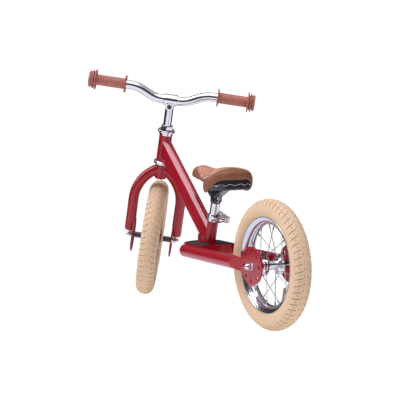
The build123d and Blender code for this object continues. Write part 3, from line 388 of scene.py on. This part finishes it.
# %% Blackened bolt
black_bolt = Finish("blackened_bolt", (0.10, 0.10, 0.11), 0.4, 0.7)
oil = black_bolt.noise(300.0, 4.0)
black_bolt.set("Roughness", 0.3 + 0.2 * oil)
black_bolt.set("Base Color", black_bolt.blend(oil, (0.07, 0.07, 0.08), (0.15, 0.15, 0.17)))
dress(black_bolt, "stem_clamp_bolt")

# %% [markdown]
# ## Black plastic, grip tape and rubber
#
# The saddle pan and the axle sleeves are moulded plastic with a soft gloss. The deck's tape is
# gritty like fine sandpaper. The grips are matt rubber in a warm terracotta, and the inner tubes and
# valve caps are tan. In each finish one noise or cell pattern feeds colour and gloss together,
# because on a real surface the two change together.

# %% Black plastic
SOFT_GLOSS = {"coat_weight": 0.7, "coat_roughness": 0.08}
plastic = Finish("black_moulding", (0.016, 0.017, 0.024), 0.25, **SOFT_GLOSS)
flow = plastic.noise(45.0, 4.0)
plastic.set("Roughness", 0.2 + 0.2 * flow)
plastic.set("Base Color", plastic.blend(flow, (0.011, 0.012, 0.019), (0.024, 0.026, 0.038)))
plastic.set("Normal", plastic.bump(plastic.noise(700.0, 2.0), 0.08, 0.0002))
dress(plastic, "rear_axle_spacers", "front_axle_spacers")

# %% Grip tape
tape = Finish("deck_tape", (0.03, 0.03, 0.032), 0.85)
grit = tape.cells(1400.0)
tape.set("Base Color", tape.blend(grit, (0.055, 0.055, 0.06), (0.015, 0.015, 0.017)))
tape.set("Roughness", 0.7 + 0.25 * grit)
tape.set("Normal", tape.bump(grit, 0.6, 0.0006))
dress(tape, "grip_tape")

# %% Rubber of the grips
grip_rubber = Finish("terracotta_rubber", (0.39, 0.13, 0.085), 0.55)
mottle = grip_rubber.noise(70.0, 4.0)
grip_rubber.set("Base Color", grip_rubber.blend(mottle, (0.38, 0.120, 0.082), (0.49, 0.175, 0.125)))
grip_rubber.set("Roughness", 0.45 + 0.2 * mottle)
grip_rubber.set("Normal", grip_rubber.bump(grip_rubber.noise(900.0, 2.0), 0.04, 0.0002))
dress(grip_rubber, "left_grip", "right_grip")

# %% Rubber of the valves
tube_rubber = Finish("tan_valve_rubber", (0.50, 0.30, 0.16), 0.6)
bloom = tube_rubber.noise(120.0, 3.0)
tube_rubber.set("Base Color", tube_rubber.blend(bloom, (0.42, 0.25, 0.13), (0.56, 0.36, 0.20)))
tube_rubber.set("Roughness", 0.5 + 0.2 * bloom)
dress(tube_rubber, "front_inner_tube", "rear_inner_tube", "front_valve_cap", "rear_valve_cap")

# %% [markdown]
# ## Tyres
#
# The tyres are soft cream rubber. Each shoulder has a row of thin grooves, slanted so that the two
# rows make arrows, with a short tick between every two grooves. Two lines of small dashes run
# beside the plain centre. A turned outline gives the body. Its grid of faces is then twisted a
# little towards the sides, so that one slanted groove is one column of faces, and the chosen faces
# are sunk by an extrusion.

# %% Tyre outline
TYRE_R = 150.0
SECTION_R = 23.5
RING_R = TYRE_R - SECTION_R
BEAD_R = 110.2
BEAD_Y = 14.4
WALL = 4.0
REPEATS = 58
PER_REPEAT = 8
COLUMNS = PER_REPEAT * REPEATS
ROW = 3.85
TREAD_ROWS = [ROW * (index + 0.5) for index in range(18)]
SIDE_ROWS = [74, 82, 91, 101, 112, 123, 133]
INNER_ROWS = [120, 60, 0, -60, -120]


def on_section(angle, radius):
    turn = math.radians(angle)
    return (RING_R + radius * math.cos(turn)) * MM, radius * math.sin(turn) * MM


def tyre_outline():
    """Closed outline: the outer skin from bead to bead, then back along the hidden inner skin."""
    rows = TREAD_ROWS + SIDE_ROWS
    angles = [-angle for angle in reversed(rows)] + rows
    outer = [on_section(angle, SECTION_R) for angle in angles]
    inner = [on_section(angle, SECTION_R - WALL) for angle in INNER_ROWS]
    return outer + [(BEAD_R * MM, BEAD_Y * MM)] + inner + [(BEAD_R * MM, -BEAD_Y * MM)]


# %% Tread pattern
OUTER_SKIN = 1.0
GROOVE_COLUMN = 0
GROOVE_ROWS = range(6, 18)
TICK_COLUMNS = (3, 4)
TICK_ROW = 10
DASH_COLUMNS = (6, 7)
DASH_ROW = 3
GROOVE_SLANT = 0.05
GROOVE_DEPTH = 1.2 * MM


def section_angle(point):
    """Degrees round the tyre's section, from 0 at the crown to either side."""
    return abs(math.degrees(math.atan2(point.y, math.hypot(point.x, point.z) - RING_R * MM)))


def slant(point):
    """Where the twist of the grid takes a point of the tyre."""
    turn = Matrix.Rotation(-math.radians(GROOVE_SLANT * section_angle(point)), 3, "Y")
    return turn @ point


def tread(center, normal):
    """Whether a face of the untwisted grid belongs to one of the grooves, ticks or dashes."""
    radius = math.hypot(center.x, center.z) - RING_R * MM
    if math.hypot(radius, center.y) < (SECTION_R - OUTER_SKIN) * MM:
        return False
    row = round(section_angle(center) / ROW)
    around = math.atan2(-center.x, center.z) / (2 * math.pi) % 1.0
    column = int(around * COLUMNS) % PER_REPEAT
    groove = column == GROOVE_COLUMN and row in GROOVE_ROWS
    tick = column in TICK_COLUMNS and row == TICK_ROW
    dash = column in DASH_COLUMNS and row == DASH_ROW
    return groove or tick or dash


# %% Cream rubber
cream = Finish("cream_rubber", (0.74, 0.54, 0.35), 0.7, specular_ior_level=0.3)
painted_groove_shade = cream.attribute("sunk")
cloudy = cream.noise(18.0, 5.0)
dusty = cream.noise(260.0, 4.0)
skin = cream.blend(cloudy * 0.75 + dusty * 0.25, (0.68, 0.49, 0.315), (0.76, 0.56, 0.375))
# The sunk faces of the grooves are painted darker brown: painted shade in the grooves.
cream.set("Base Color", cream.blend(painted_groove_shade, skin, (0.42, 0.275, 0.16)))
cream.set("Roughness", 0.6 + 0.25 * dusty)
cream.set("Normal", cream.bump(dusty, 0.1, 0.0004))

# %% Both tyres


def make_tyre(name, wheel, body, node):
    tyre = lathe(name, tyre_outline(), COLUMNS)
    count = pick_faces(tyre, tread)
    for vertex in tyre.data.vertices:
        vertex.co = slant(vertex.co)
    with Editing(tyre, "FACE"):
        sink = {"value": -GROOVE_DEPTH}
        bpy.ops.mesh.extrude_region_shrink_fatten(TRANSFORM_OT_shrink_fatten=sink)
    # Which vertices are sunk, for the painted shade in the grooves.
    keep(tyre, "sunk", [1.0 if vertex.select else 0.0 for vertex in tyre.data.vertices])
    tyre.data.transform(wheel)
    smooth(tyre, 40)
    wear(tyre, cream)
    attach(tyre, body)
    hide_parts(node)
    print(name, "tread faces", count, "faces", len(tyre.data.polygons))


make_tyre("rear_tyre_treaded", REAR_WHEEL, "rear_wheel", "rear_tyre")
make_tyre("front_tyre_treaded", FRONT_WHEEL, "front_wheel", "front_tyre")

# %% [markdown]
# ## Square tube ends
#
# The fork legs and the stays end in flat caps with a small round edge. The sized tubes are rounder
# there, so a cap is turned for each size of tube and its copies are set over the ends. The caps of
# the legs are cut flat where the axle plates pass.

# %% Cap for a tube
END_LEN = 11.0
LEG_END_ROUND = 3.0
STAY_END_ROUND = 5.0
END_CLEAR = 0.03
END_STEPS = 64
LEG_R = 13.0
LEG_FOOT = (-12.0, 60.5, 17.0)
LEG_FLAT = 8.0
STAY_R = 16.0
STAY_TIP = (324.0, 50.5, 0.0)


def make_end(name, radius, rounding):
    """Cap for the end of a tube: flat below, with a round edge, its end at the origin."""
    edge = radius + END_CLEAR
    outline = [(0.0, 0.0)]
    for angle in range(0, 91, 15):
        turn = math.radians(angle)
        outline.append((edge - rounding * (1 - math.sin(turn)), rounding * (1 - math.cos(turn))))
    outline += [(edge, END_LEN), (0.0, END_LEN)]
    end = lathe(name, [(r * MM, y * MM) for r, y in outline], END_STEPS)
    end.data.transform(Matrix.Rotation(math.radians(90), 4, "X"))
    return end


def set_ends(end, wheel, spot, turns, body):
    """Copies of a cap on both sides of a wheel's frame."""
    for side, turn in zip((1, -1), turns):
        copy = end.copy()
        copy.data = end.data.copy()
        copy.name = ("left_" if side > 0 else "right_") + end.name
        bpy.context.scene.collection.objects.link(copy)
        place = Matrix.Translation((spot[0] * MM, side * spot[1] * MM, spot[2] * MM))
        copy.data.transform(wheel @ place @ turn)
        smooth(copy, 35)
        wear(copy, paint)
        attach(copy, body)
    print(end.name, "faces", len(end.data.polygons))
    bpy.data.objects.remove(end)


# %% Caps in place
leg_end = make_end("fork_leg_end", LEG_R, LEG_END_ROUND)
with Editing(leg_end):
    bpy.ops.mesh.select_all(action="SELECT")
    flat = (0, -LEG_FLAT * MM, 0)
    bpy.ops.mesh.bisect(plane_co=flat, plane_no=(0, 1, 0), use_fill=True, clear_inner=True)
tidy_shell(leg_end)
half_turn = Matrix.Rotation(math.pi, 4, "Z")
set_ends(leg_end, FRONT_WHEEL, LEG_FOOT, (Matrix(), half_turn), "fork")
forward = Matrix.Rotation(math.radians(-90), 4, "Y")
stay_end = make_end("stay_end", STAY_R, STAY_END_ROUND)
set_ends(stay_end, REAR_WHEEL, STAY_TIP, (forward, forward), "frame")

# %% [markdown]
# ## Rims
#
# The sized rim is a folded strip with flat sides. A real rim is rolled, with a round section and a
# curled edge, and its curve breaks up what it mirrors. So each rim is turned from a smooth half
# oval with a curl at both edges. Its chrome is a little greyer and softer than the bar's.

# %% Rim outline
RIM_EDGE_R = 110.0
RIM_HALF = 16.2
RIM_DEPTH = 18.0
RIM_WALL = 1.6
CURL_R = 1.1
CURL_Y = 15.6


def half_oval(angle, inset):
    turn = math.radians(angle)
    along = (RIM_HALF - inset) * math.cos(turn)
    return (RIM_EDGE_R - (RIM_DEPTH - inset) * math.sin(turn)) * MM, along * MM


def curl(angle, side):
    turn = math.radians(angle)
    along = CURL_Y + CURL_R * math.sin(turn)
    return (RIM_EDGE_R - CURL_R + CURL_R * math.cos(turn)) * MM, side * along * MM


def rim_outline():
    """Closed outline: curl, bright oval and curl, then back along the hidden inside."""
    first = [curl(angle, 1) for angle in range(0, 136, 15)]
    outer = [half_oval(angle, 0.0) for angle in range(12, 169, 6)]
    last = [curl(angle, -1) for angle in range(135, -1, -15)]
    inner = [half_oval(angle, RIM_WALL) for angle in range(170, 9, -20)]
    return first + outer + last + inner


# %% Chrome of the rims
rolled = Finish("rolled_chrome", (0.70, 0.71, 0.75), 0.2, 1.0)
brushed = rolled.noise(90.0, 4.0)
rolled.set("Roughness", 0.1 + 0.08 * brushed)
rolled.set("Base Color", rolled.blend(brushed, (0.62, 0.65, 0.72), (0.76, 0.79, 0.85)))

# %% Both rims
RIM_STEPS = 144


def make_rim(name, wheel, body, node):
    rim = lathe(name, rim_outline(), RIM_STEPS)
    rim.data.transform(wheel)
    smooth(rim, 30)
    wear(rim, rolled)
    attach(rim, body)
    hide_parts(node)
    print(name, "faces", len(rim.data.polygons))


make_rim("rear_rim_rolled", REAR_WHEEL, "rear_wheel", "rear_rim")
make_rim("front_rim_rolled", FRONT_WHEEL, "front_wheel", "front_rim")

# %% [markdown]
# ## Saddle
#
# The saddle is a foam pad under a stretched leather-look cover. The sized solid gives its outline.
# A copy is remeshed into an even skin, blown up a little by a cloth simulation so that the
# top crowns and the edges round off, and smoothed by one subdivision.

# %% Soft copy of a node
PAD_VOXEL = 4.0 * MM
PAD_SHRINK = 1.5 * MM
PAD_SWELL = 3.0 * MM
PAD_PRESSURE = 4.0
PAD_FRAMES = 20


def copy_of(node, name):
    """Free copy of a node's mesh, with its loose triangles joined up."""
    copy = nodes[node].copy()
    copy.data = nodes[node].data.copy()
    for key in list(copy.keys()):
        del copy[key]
    copy.parent = None
    copy.name = name
    bpy.context.scene.collection.objects.link(copy)
    tidy_shell(copy, COARSE_WELD_GAP)
    return copy


def even_skin(obj, voxel):
    """Remesh an object into small even faces."""
    remesh = obj.modifiers.new("even skin", "REMESH")
    remesh.mode = "VOXEL"
    remesh.voxel_size = voxel
    apply_modifiers(obj)


def pad_from(node, name):
    """Soft copy of a node: an even skin, swollen by cloth pressure and kept near its start."""
    pad = copy_of(node, name)
    even_skin(pad, PAD_VOXEL)
    with Editing(pad):
        bpy.ops.mesh.select_all(action="SELECT")
        bpy.ops.transform.shrink_fatten(value=-PAD_SHRINK)
        bpy.ops.mesh.vertices_smooth(factor=0.5, repeat=4)
    swell(pad)
    finer = pad.modifiers.new("finer", "SUBSURF")
    finer.levels = finer.render_levels = 1
    apply_modifiers(pad)
    smooth(pad, 180)
    return pad


def swell(pad):
    """Blow a pad up as cloth, with no point moved further than the cap."""
    start = [vertex.co.copy() for vertex in pad.data.vertices]
    cloth = pad.modifiers.new("swell", "CLOTH")
    cloth.settings.use_pressure = True
    cloth.settings.uniform_pressure_force = PAD_PRESSURE
    cloth.settings.effector_weights.gravity = 0.0
    scene = bpy.context.scene
    for step in range(1, PAD_FRAMES + 1):
        scene.frame_set(step)
    apply_modifiers(pad)
    scene.frame_set(1)
    for vertex, before in zip(pad.data.vertices, start):
        move = vertex.co - before
        if move.length > PAD_SWELL:
            vertex.co = before + move * (PAD_SWELL / move.length)


# %% Padded saddle
saddle = pad_from("saddle_cover", "saddle_padded")
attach(saddle, "seat")
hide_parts("saddle_cover")
print("saddle vertices", len(saddle.data.vertices))

# %% [markdown]
# ## Saddle panel and seams
#
# A lighter panel is sewn into the top, from the nose to the wide seat. First the nose is lifted a
# little and the front of the seat eased, so that one flows into the other.

# %% Flowing top
REAR_AXLE = REAR_WHEEL.translation
NOSE_LIFT = 3.2 * MM
NOSE_FROM, NOSE_TO = 280, 325
LIFT_FROM, LIFT_TO = 325, 345
EASE_AHEAD = (195, 290)
EASE_ASIDE = (12, 60)
EASE_ABOVE = 325
EASE_ROUNDS = 40


def bike_mm(point):
    """Millimetres ahead of the rear axle, to either side of the middle, and above the floor."""
    return (point.x - REAR_AXLE.x) / MM, abs(point.y) / MM, point.z / MM


def rise(value, low, high):
    """0 below low and 1 above high, with a soft rise between."""
    share = min(max((value - low) / (high - low), 0.0), 1.0)
    return share * share * (3 - 2 * share)


for vertex in saddle.data.vertices:
    ahead, aside, above = bike_mm(vertex.co)
    lift = rise(ahead, NOSE_FROM, NOSE_TO) * rise(above, LIFT_FROM, LIFT_TO)
    vertex.co.z += NOSE_LIFT * lift
    in_length = EASE_AHEAD[0] < ahead < EASE_AHEAD[1]
    in_width = EASE_ASIDE[0] < aside < EASE_ASIDE[1]
    vertex.select = in_length and in_width and above > EASE_ABOVE
print("eased vertices", sum(vertex.select for vertex in saddle.data.vertices))
with Editing(saddle):
    bpy.ops.mesh.vertices_smooth(factor=0.5, repeat=EASE_ROUNDS)

# %% [markdown]
# A seam could be cut into the mesh, but the panel's edge would then follow the faces. Instead, how
# deep a point lies inside the panel is worked out for each vertex and kept as an attribute. The
# seam, which is pressed into the mesh, and the colour, which changes in the material, then follow
# one line.

# %% Panel and seam
SEAM_HALF = 3.2
SEAM_DEPTH = 1.1 * MM
SEAM_LEAN = 0.9
BACK_SEAM = 179
BACK_BOW = 0.15
BACK_CORNER = 41
BACK_SWEEP = 22
BACK_SWEEP_WIDTH = 18.6
NOSE_SEAM = 314
NOSE_SEAM_Z = 345.3
NOSE_SEAM_SLOPE = 0.488
WING_SEAM = 278
WING_SEAM_Z = 328
WING_SEAM_SLOPE = 0.086


def panel_depth(point):
    """Millimetres from a point to the panel's edge, above 0 inside the panel."""
    ahead, aside, above = bike_mm(point)
    if aside < BACK_CORNER:
        back = BACK_SEAM + BACK_BOW * (BACK_CORNER - aside)
    else:
        back = BACK_SEAM + BACK_SWEEP * ((aside - BACK_CORNER) / BACK_SWEEP_WIDTH) ** 2
    if ahead > WING_SEAM:
        side = NOSE_SEAM_Z - NOSE_SEAM_SLOPE * (NOSE_SEAM - ahead)
    else:
        side = WING_SEAM_Z + WING_SEAM_SLOPE * (WING_SEAM - ahead)
    return min(ahead - back, SEAM_LEAN * (above - side))


depths = [panel_depth(vertex.co) for vertex in saddle.data.vertices]
for vertex, depth in zip(saddle.data.vertices, depths):
    if abs(depth) < SEAM_HALF:
        press = 1 - (depth / SEAM_HALF) ** 2
        vertex.co -= vertex.normal * SEAM_DEPTH * press * press
keep(saddle, "panel_depth", depths)
print("seam vertices", sum(abs(depth) < SEAM_HALF for depth in depths))

# %% [markdown]
# The cover is a leather-look vinyl with fine pores. The panel is paler and pinker than the sides,
# and the colour is darker along the pressed seam.

# %% Leather for the saddle
leather = Finish("tan_leather", (0.30, 0.12, 0.055), 0.5, specular_ior_level=0.4)
pores = leather.cells(950.0)
patina = leather.noise(22.0, 5.0)
fine = leather.noise(300.0, 3.0)
inside = leather.attribute("panel_depth")
panel_share = inside.step(-0.5, 0.5)
seam_share = 1 - abs(inside).step(0.3, 1.4)
tan = patina * 0.8 + fine * 0.2
sides = leather.blend(tan, (0.21, 0.075, 0.034), (0.31, 0.118, 0.058))
panel_hide = leather.blend(tan, (0.46, 0.20, 0.125), (0.60, 0.29, 0.19))
hide = leather.blend(panel_share, sides, panel_hide)
# The colour is darker along the seam's groove.
leather.set("Base Color", leather.blend(seam_share * 0.6, hide, (0.10, 0.036, 0.017)))
leather.set("Roughness", 0.36 + 0.22 * patina)
leather.set("Normal", leather.bump(pores, 0.12, 0.0004))
wear(saddle, leather)

# %% [markdown]
# ## Stitching
#
# Pale thread holds the panel. Two rows run beside the seam towards the nose, and slanted whip
# stitches close the rear edge. One stitch is shaped from a small ball by drawing out its ends.
# Copies are laid on the pad, each turned to its place, and joined into one piece.

# %% One stitch
STITCH_R = 0.8 * MM
STITCH_STRETCH = 0.9 * MM


def make_stitch():
    bpy.ops.object.select_all(action="DESELECT")
    bpy.ops.mesh.primitive_uv_sphere_add(segments=6, ring_count=6, radius=STITCH_R)
    stitch = bpy.context.object
    for end in (1, -1):
        pick_faces(stitch, lambda center, normal: end * center.z > 0)
        with Editing(stitch, "FACE"):
            draw = {"value": (0, 0, end * STITCH_STRETCH)}
            bpy.ops.mesh.extrude_region_move(TRANSFORM_OT_translate=draw)
    tidy_shell(stitch, FINE_WELD_GAP)
    smooth(stitch, 60)
    return stitch


# %% Laying stitches on a pad


def nearest(obj, point):
    """Nearest spot on an object, and the normal there."""
    return obj.closest_point_on_mesh(point)[1:3]


def along(route, pitch):
    """Points one pitch apart on a run of straight lines, each with its direction."""
    left = pitch / 2
    for start, end in zip(route, route[1:]):
        run = end - start
        while left < run.length:
            yield start + run.normalized() * left, run.normalized()
            left += pitch
        left -= run.length


def sew(pad, stitch, route, pitch, shift=0.0, turn=0.0):
    """Lay copies of a stitch on a pad beside a route, turned away from the route's direction."""
    laid = []
    for point, direction in along(route, pitch):
        spot, normal = nearest(pad, point)
        aside = normal.cross(direction).normalized()
        spot, normal = nearest(pad, spot + aside * shift)
        lie = (Matrix.Rotation(turn, 3, normal) @ direction).to_track_quat("Z", "Y")
        copy = stitch.copy()
        copy.data = stitch.data.copy()
        copy.data.transform(Matrix.Translation(spot) @ lie.to_matrix().to_4x4())
        bpy.context.scene.collection.objects.link(copy)
        laid.append(copy)
    return laid


def at(ahead, aside, above):
    """Point given in millimetres from the rear axle, the middle and the floor."""
    return Vector((REAR_AXLE.x + ahead * MM, aside * MM, above * MM))


# %% Seams of the saddle
ROW_PITCH = 4.4 * MM
ROW_ASIDE = 2.6 * MM
WHIP_PITCH = 4.0 * MM
WHIP_TURN = math.radians(55)
NOSE_ROUTE = [(330, 0, 355), (326, 9, 351), (314, 15.6, 345.3), (280, 27, 329)]
WING_ROUTE = [(276, 28, 328), (240, 43, 331), (201, 59.6, 334.6)]
BACK_ROUTE = [(187, 56, 341.4), (179, 41.5, 351.8), (181, 33, 354.4), (185, 0, 358)]

bpy.context.view_layer.update()
stitch = make_stitch()
stitches = []
for side in (1, -1):
    nose = [at(ahead, side * aside, above) for ahead, aside, above in NOSE_ROUTE]
    edge = [at(ahead, side * aside, above) for ahead, aside, above in WING_ROUTE + BACK_ROUTE]
    for shift in (ROW_ASIDE, -ROW_ASIDE):
        stitches += sew(saddle, stitch, nose, ROW_PITCH, shift)
    stitches += sew(saddle, stitch, edge, WHIP_PITCH, turn=WHIP_TURN)
bpy.data.objects.remove(stitch)
only(stitches[0])
for thread in stitches:
    thread.select_set(True)
bpy.ops.object.join()
stitching = stitches[0]
stitching.name = "saddle_stitching"
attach(stitching, "seat")
print("stitches", len(stitches), "faces", len(stitching.data.polygons))

# %% Thread
thread_finish = Finish("pale_thread", (0.80, 0.56, 0.42), 0.7)
ply = thread_finish.noise(1500.0, 2.0)
thread_finish.set("Base Color", thread_finish.blend(ply, (0.72, 0.48, 0.35), (0.90, 0.68, 0.54)))
thread_finish.set("Normal", thread_finish.bump(ply, 0.4, 0.0003))
wear(stitching, thread_finish)

# %% [markdown]
# ## Saddle pan
#
# The pan under the saddle is one glossy moulding. The sized pan has the right form, but its walls
# are flat strips. A copy gets an even skin and its walls are smoothed until they flow, while the
# clamp below keeps its edges.

# %% Moulded pan
CLAMP_TOP = 0.303
PAN_VOXEL = 1.25 * MM
WALL_ROUNDS = 30

pan = copy_of("saddle_base", "saddle_pan")
even_skin(pan, PAN_VOXEL)
for vertex in pan.data.vertices:
    vertex.select = vertex.co.z > CLAMP_TOP
with Editing(pan):
    bpy.ops.mesh.vertices_smooth(factor=0.5, repeat=WALL_ROUNDS)
    bpy.ops.mesh.select_all(action="SELECT")
    bpy.ops.mesh.vertices_smooth(factor=0.5, repeat=2)
smooth(pan, 40)
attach(pan, "seat")
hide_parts("saddle_base")
wear(pan, plastic)
print("pan faces", len(pan.data.polygons))

# %% [markdown]
# A wavy ledge runs round the back of the pan, painted pale grey in patches as a painted highlight
# where the glossy ledge catches the light. It is a line drawn along the wall, turned into a curve
# and given a round section, which is easier to shape than a ridge in the pan's own faces.

# %% Ledge of the pan
LEDGE_R = 0.8 * MM
LEDGE_Z = 319.0
LEDGE_FALL = 13.0
LEDGE_WAVE = 1.7
LEDGE_WAVES = 9
LEDGE_POINTS = 145
LEDGE_MIDDLE = 225
LEDGE_REACH = 75
LEDGE_HALF = 80
LEDGE_OUT = 0.3 * MM


def ledge_point(share):
    """Point of the ledge, from the left side round the back to the right side."""
    turn = math.radians(90 * (2 * share - 1))
    wave = LEDGE_WAVE * math.cos(2 * math.pi * LEDGE_WAVES * share)
    fall = LEDGE_FALL * (1 - rise(min(share, 1 - share), 0.02, 0.3))
    ahead = LEDGE_MIDDLE - LEDGE_REACH * math.cos(turn)
    guess = at(ahead, -LEDGE_HALF * math.sin(turn), LEDGE_Z - fall + wave)
    spot, normal = nearest(pan, guess)
    out = Vector((normal.x, normal.y, 0)).normalized()
    return Vector((spot.x, spot.y, guess.z)) + out * LEDGE_OUT


bpy.context.view_layer.update()
shares = [index / (LEDGE_POINTS - 1) for index in range(LEDGE_POINTS)]
ledge = chain("saddle_pan_ledge", [ledge_point(share) for share in shares])
only(ledge)
bpy.ops.object.convert(target="CURVE")
ledge.data.bevel_depth = LEDGE_R
ledge.data.bevel_resolution = 2
ledge.data.use_fill_caps = True
bpy.ops.object.convert(target="MESH")
ledge = bpy.context.object
tidy_shell(ledge, FINE_WELD_GAP)
smooth(ledge, 60)
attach(ledge, "seat")
print("ledge faces", len(ledge.data.polygons))

# %% Ledge with a painted highlight
ledge_gloss = Finish("ledge_painted_highlight", (0.5, 0.5, 0.52), 0.25, coat_weight=0.5, coat_roughness=0.1)
glint_and_gloss_noise = ledge_gloss.noise(160.0, 3.0)
painted_glint = glint_and_gloss_noise.step(0.35, 0.65)
# Pale grey patches on the black plastic: a painted highlight where the glossy ledge catches the
# light.
ledge_gloss.set("Base Color", ledge_gloss.blend(painted_glint, (0.06, 0.06, 0.07), (0.70, 0.70, 0.74)))
ledge_gloss.set("Roughness", 0.18 + 0.2 * glint_and_gloss_noise)
wear(ledge, ledge_gloss)

# %% [markdown]
# ## Studio
#
# The photograph is cut out on plain white with no shadow. So the camera sees only a white sheet and
# a white round wall, and no horizon shows from any side. Two more floors do the rest. One bounces
# soft light up at the bike. The other, seen only in reflections, is bright near the bike and dark
# further off, as round a small photographer's table.

# %% Studio helpers
scene = bpy.context.scene
scene.view_settings.view_transform = "Standard"
WALL_R = 28.0
NO_SHINE = {"specular_ior_level": 0.0}


def only_seen_by(obj, camera=False, glossy=False, diffuse=False):
    """Hide a piece of the studio from every kind of ray but the ones named."""
    obj.visible_camera = camera
    obj.visible_glossy = glossy
    obj.visible_diffuse = diffuse
    obj.visible_transmission = camera
    obj.visible_shadow = diffuse


def plane(name, size, height):
    bpy.ops.object.select_all(action="DESELECT")
    bpy.ops.mesh.primitive_plane_add(size=size, location=(0, 0, height))
    bpy.ops.object.transform_apply()
    panel = bpy.context.object
    panel.name = name
    return panel


# %% Floors
MIRRORED_Z = -2.0 * MM
GLOW_MIDDLE = (-0.55, 0.35, 0.0)
GLOW_FROM, GLOW_TO = 1.15, 1.6

white_floor = Finish("studio_white", (0.55, 0.55, 0.55), 0.9, emission_strength=0.52, **NO_SHINE)
white_floor.set("Emission Color", (1.0, 1.0, 1.0, 1.0))
floor = plane("studio_floor", 2 * WALL_R, 0.0)
wear(floor, white_floor)
only_seen_by(floor, diffuse=True)

glow = Finish("studio_glow", (0.0, 0.0, 0.0), 1.0, emission_strength=1.0, **NO_SHINE)
far_off = glow.distance(GLOW_MIDDLE).step(GLOW_FROM, GLOW_TO)
glow.set("Emission Color", glow.blend(far_off, (0.93, 0.91, 1.0), (0.03, 0.03, 0.035)))
mirrored = plane("studio_mirrored_floor", 2 * WALL_R, MIRRORED_Z)
wear(mirrored, glow)
only_seen_by(mirrored, glossy=True)
print("floors", floor.name, mirrored.name)

# %% Wall and sheet
WALL_H = 24.0
SHEET_Z = -1.0 * MM

bpy.ops.object.select_all(action="DESELECT")
ring = {"vertices": 96, "radius": WALL_R, "depth": WALL_H}
bpy.ops.mesh.primitive_cylinder_add(end_fill_type="NOTHING", **ring)
wall = bpy.context.object
wall.name = "studio_wall"
with Editing(wall):
    bpy.ops.mesh.select_all(action="SELECT")
    bpy.ops.mesh.flip_normals()
lit_wall = Finish("studio_wall_white", (0.0, 0.0, 0.0), 1.0, emission_strength=1.05)
paper = lit_wall.noise(0.2)
lit_wall.set("Emission Color", lit_wall.blend(paper, (0.99, 0.99, 0.99), (1.0, 1.0, 1.0)))
sheet = plane("studio_sheet", 2 * WALL_R, SHEET_Z)
for backing in (wall, sheet):
    wear(backing, lit_wall)
    only_seen_by(backing, camera=True)
print("backing", wall.name, sheet.name)

# %% [markdown]
# All the light comes from the sky. It is dim near the ground and brighter overhead, with soft
# boxes drawn into it. A long strip arches from the left to overhead, so that the round edge of
# the down tube mirrors it over its whole width. A round box hangs above, and a wide dim one
# behind fills the shadows.

# %% Sky
DOME_DIM = 0.05
DOME_RISE = 0.55
TUBE_RUN = Vector((0.764, 0.0, 0.646))
STRIP_AT = 0.61
STRIP_GLOW = 6.5
TOP_BOX = Vector((-0.16, -0.06, 0.98))
TOP_GLOW = 2.6
REAR_FILL = Vector((-0.48, 0.27, 0.83))
SKY_TINT = (1.0, 0.97, 1.06, 1.0)
world = bpy.data.worlds.new("studio")
scene.world = world
world.use_nodes = True
sky = Nodes(world.node_tree)
way = sky.node("ShaderNodeTexCoord")
left, height = sky.split(way)[1:]


def towards(direction):
    """1 for a ray that runs straight in a direction, falling off to each side."""
    inputs = {0: way, 1: direction.normalized()}
    return sky.node("ShaderNodeVectorMath", {"operation": "DOT_PRODUCT"}, inputs, output=1)


dome = DOME_DIM + DOME_RISE * height.step(0.3, 0.9)
across = 1 - abs(towards(TUBE_RUN) - STRIP_AT).step(0.07, 0.11)
strip = STRIP_GLOW * across * height.step(0.15, 0.3) * left.step(0.0, 0.15)
top = TOP_GLOW * towards(TOP_BOX).step(0.962, 0.974)
fill = towards(REAR_FILL).step(0.87, 0.95)
backdrop = world.node_tree.nodes["Background"]
sky.feed(backdrop.inputs["Color"], SKY_TINT)
sky.feed(backdrop.inputs["Strength"], dome + strip + top + fill)
print("sky nodes", len(world.node_tree.nodes))

# %% [markdown]
# ## Camera
#
# The photograph was taken from a little behind and to the left of the bike with a long lens.
# The place, aim and focal length come from fitting known circles of the wheels to the picture.

# %% Camera
CAMERA_AT = Vector((-3.3321, 1.8310, 0.6379))
CAMERA_AIM = Vector((-0.0167, 0.0, 0.250))
CAMERA_ROLL = math.radians(0.16)
LENS = 142.04
SENSOR_WIDTH = 36.0
SHIFT_X = -0.0291
SHIFT_Y = 0.0244

camera_data = bpy.data.cameras.new("photo_camera")
camera_data.lens = LENS
camera_data.sensor_width = SENSOR_WIDTH
camera_data.shift_x = SHIFT_X
camera_data.shift_y = SHIFT_Y
camera = bpy.data.objects.new("photo_camera", camera_data)
scene.collection.objects.link(camera)
scene.camera = camera
camera.location = CAMERA_AT
aimed = (CAMERA_AIM - CAMERA_AT).to_track_quat("-Z", "Y").to_matrix()
camera.rotation_euler = (aimed @ Matrix.Rotation(CAMERA_ROLL, 3, "Z")).to_euler()
print("camera", round((CAMERA_AIM - CAMERA_AT).length, 2), "m from the bike")

# %% [markdown]
# ## Last update
#
# The view layer is brought up to date at the end.

# %% Last update
bpy.context.view_layer.update()
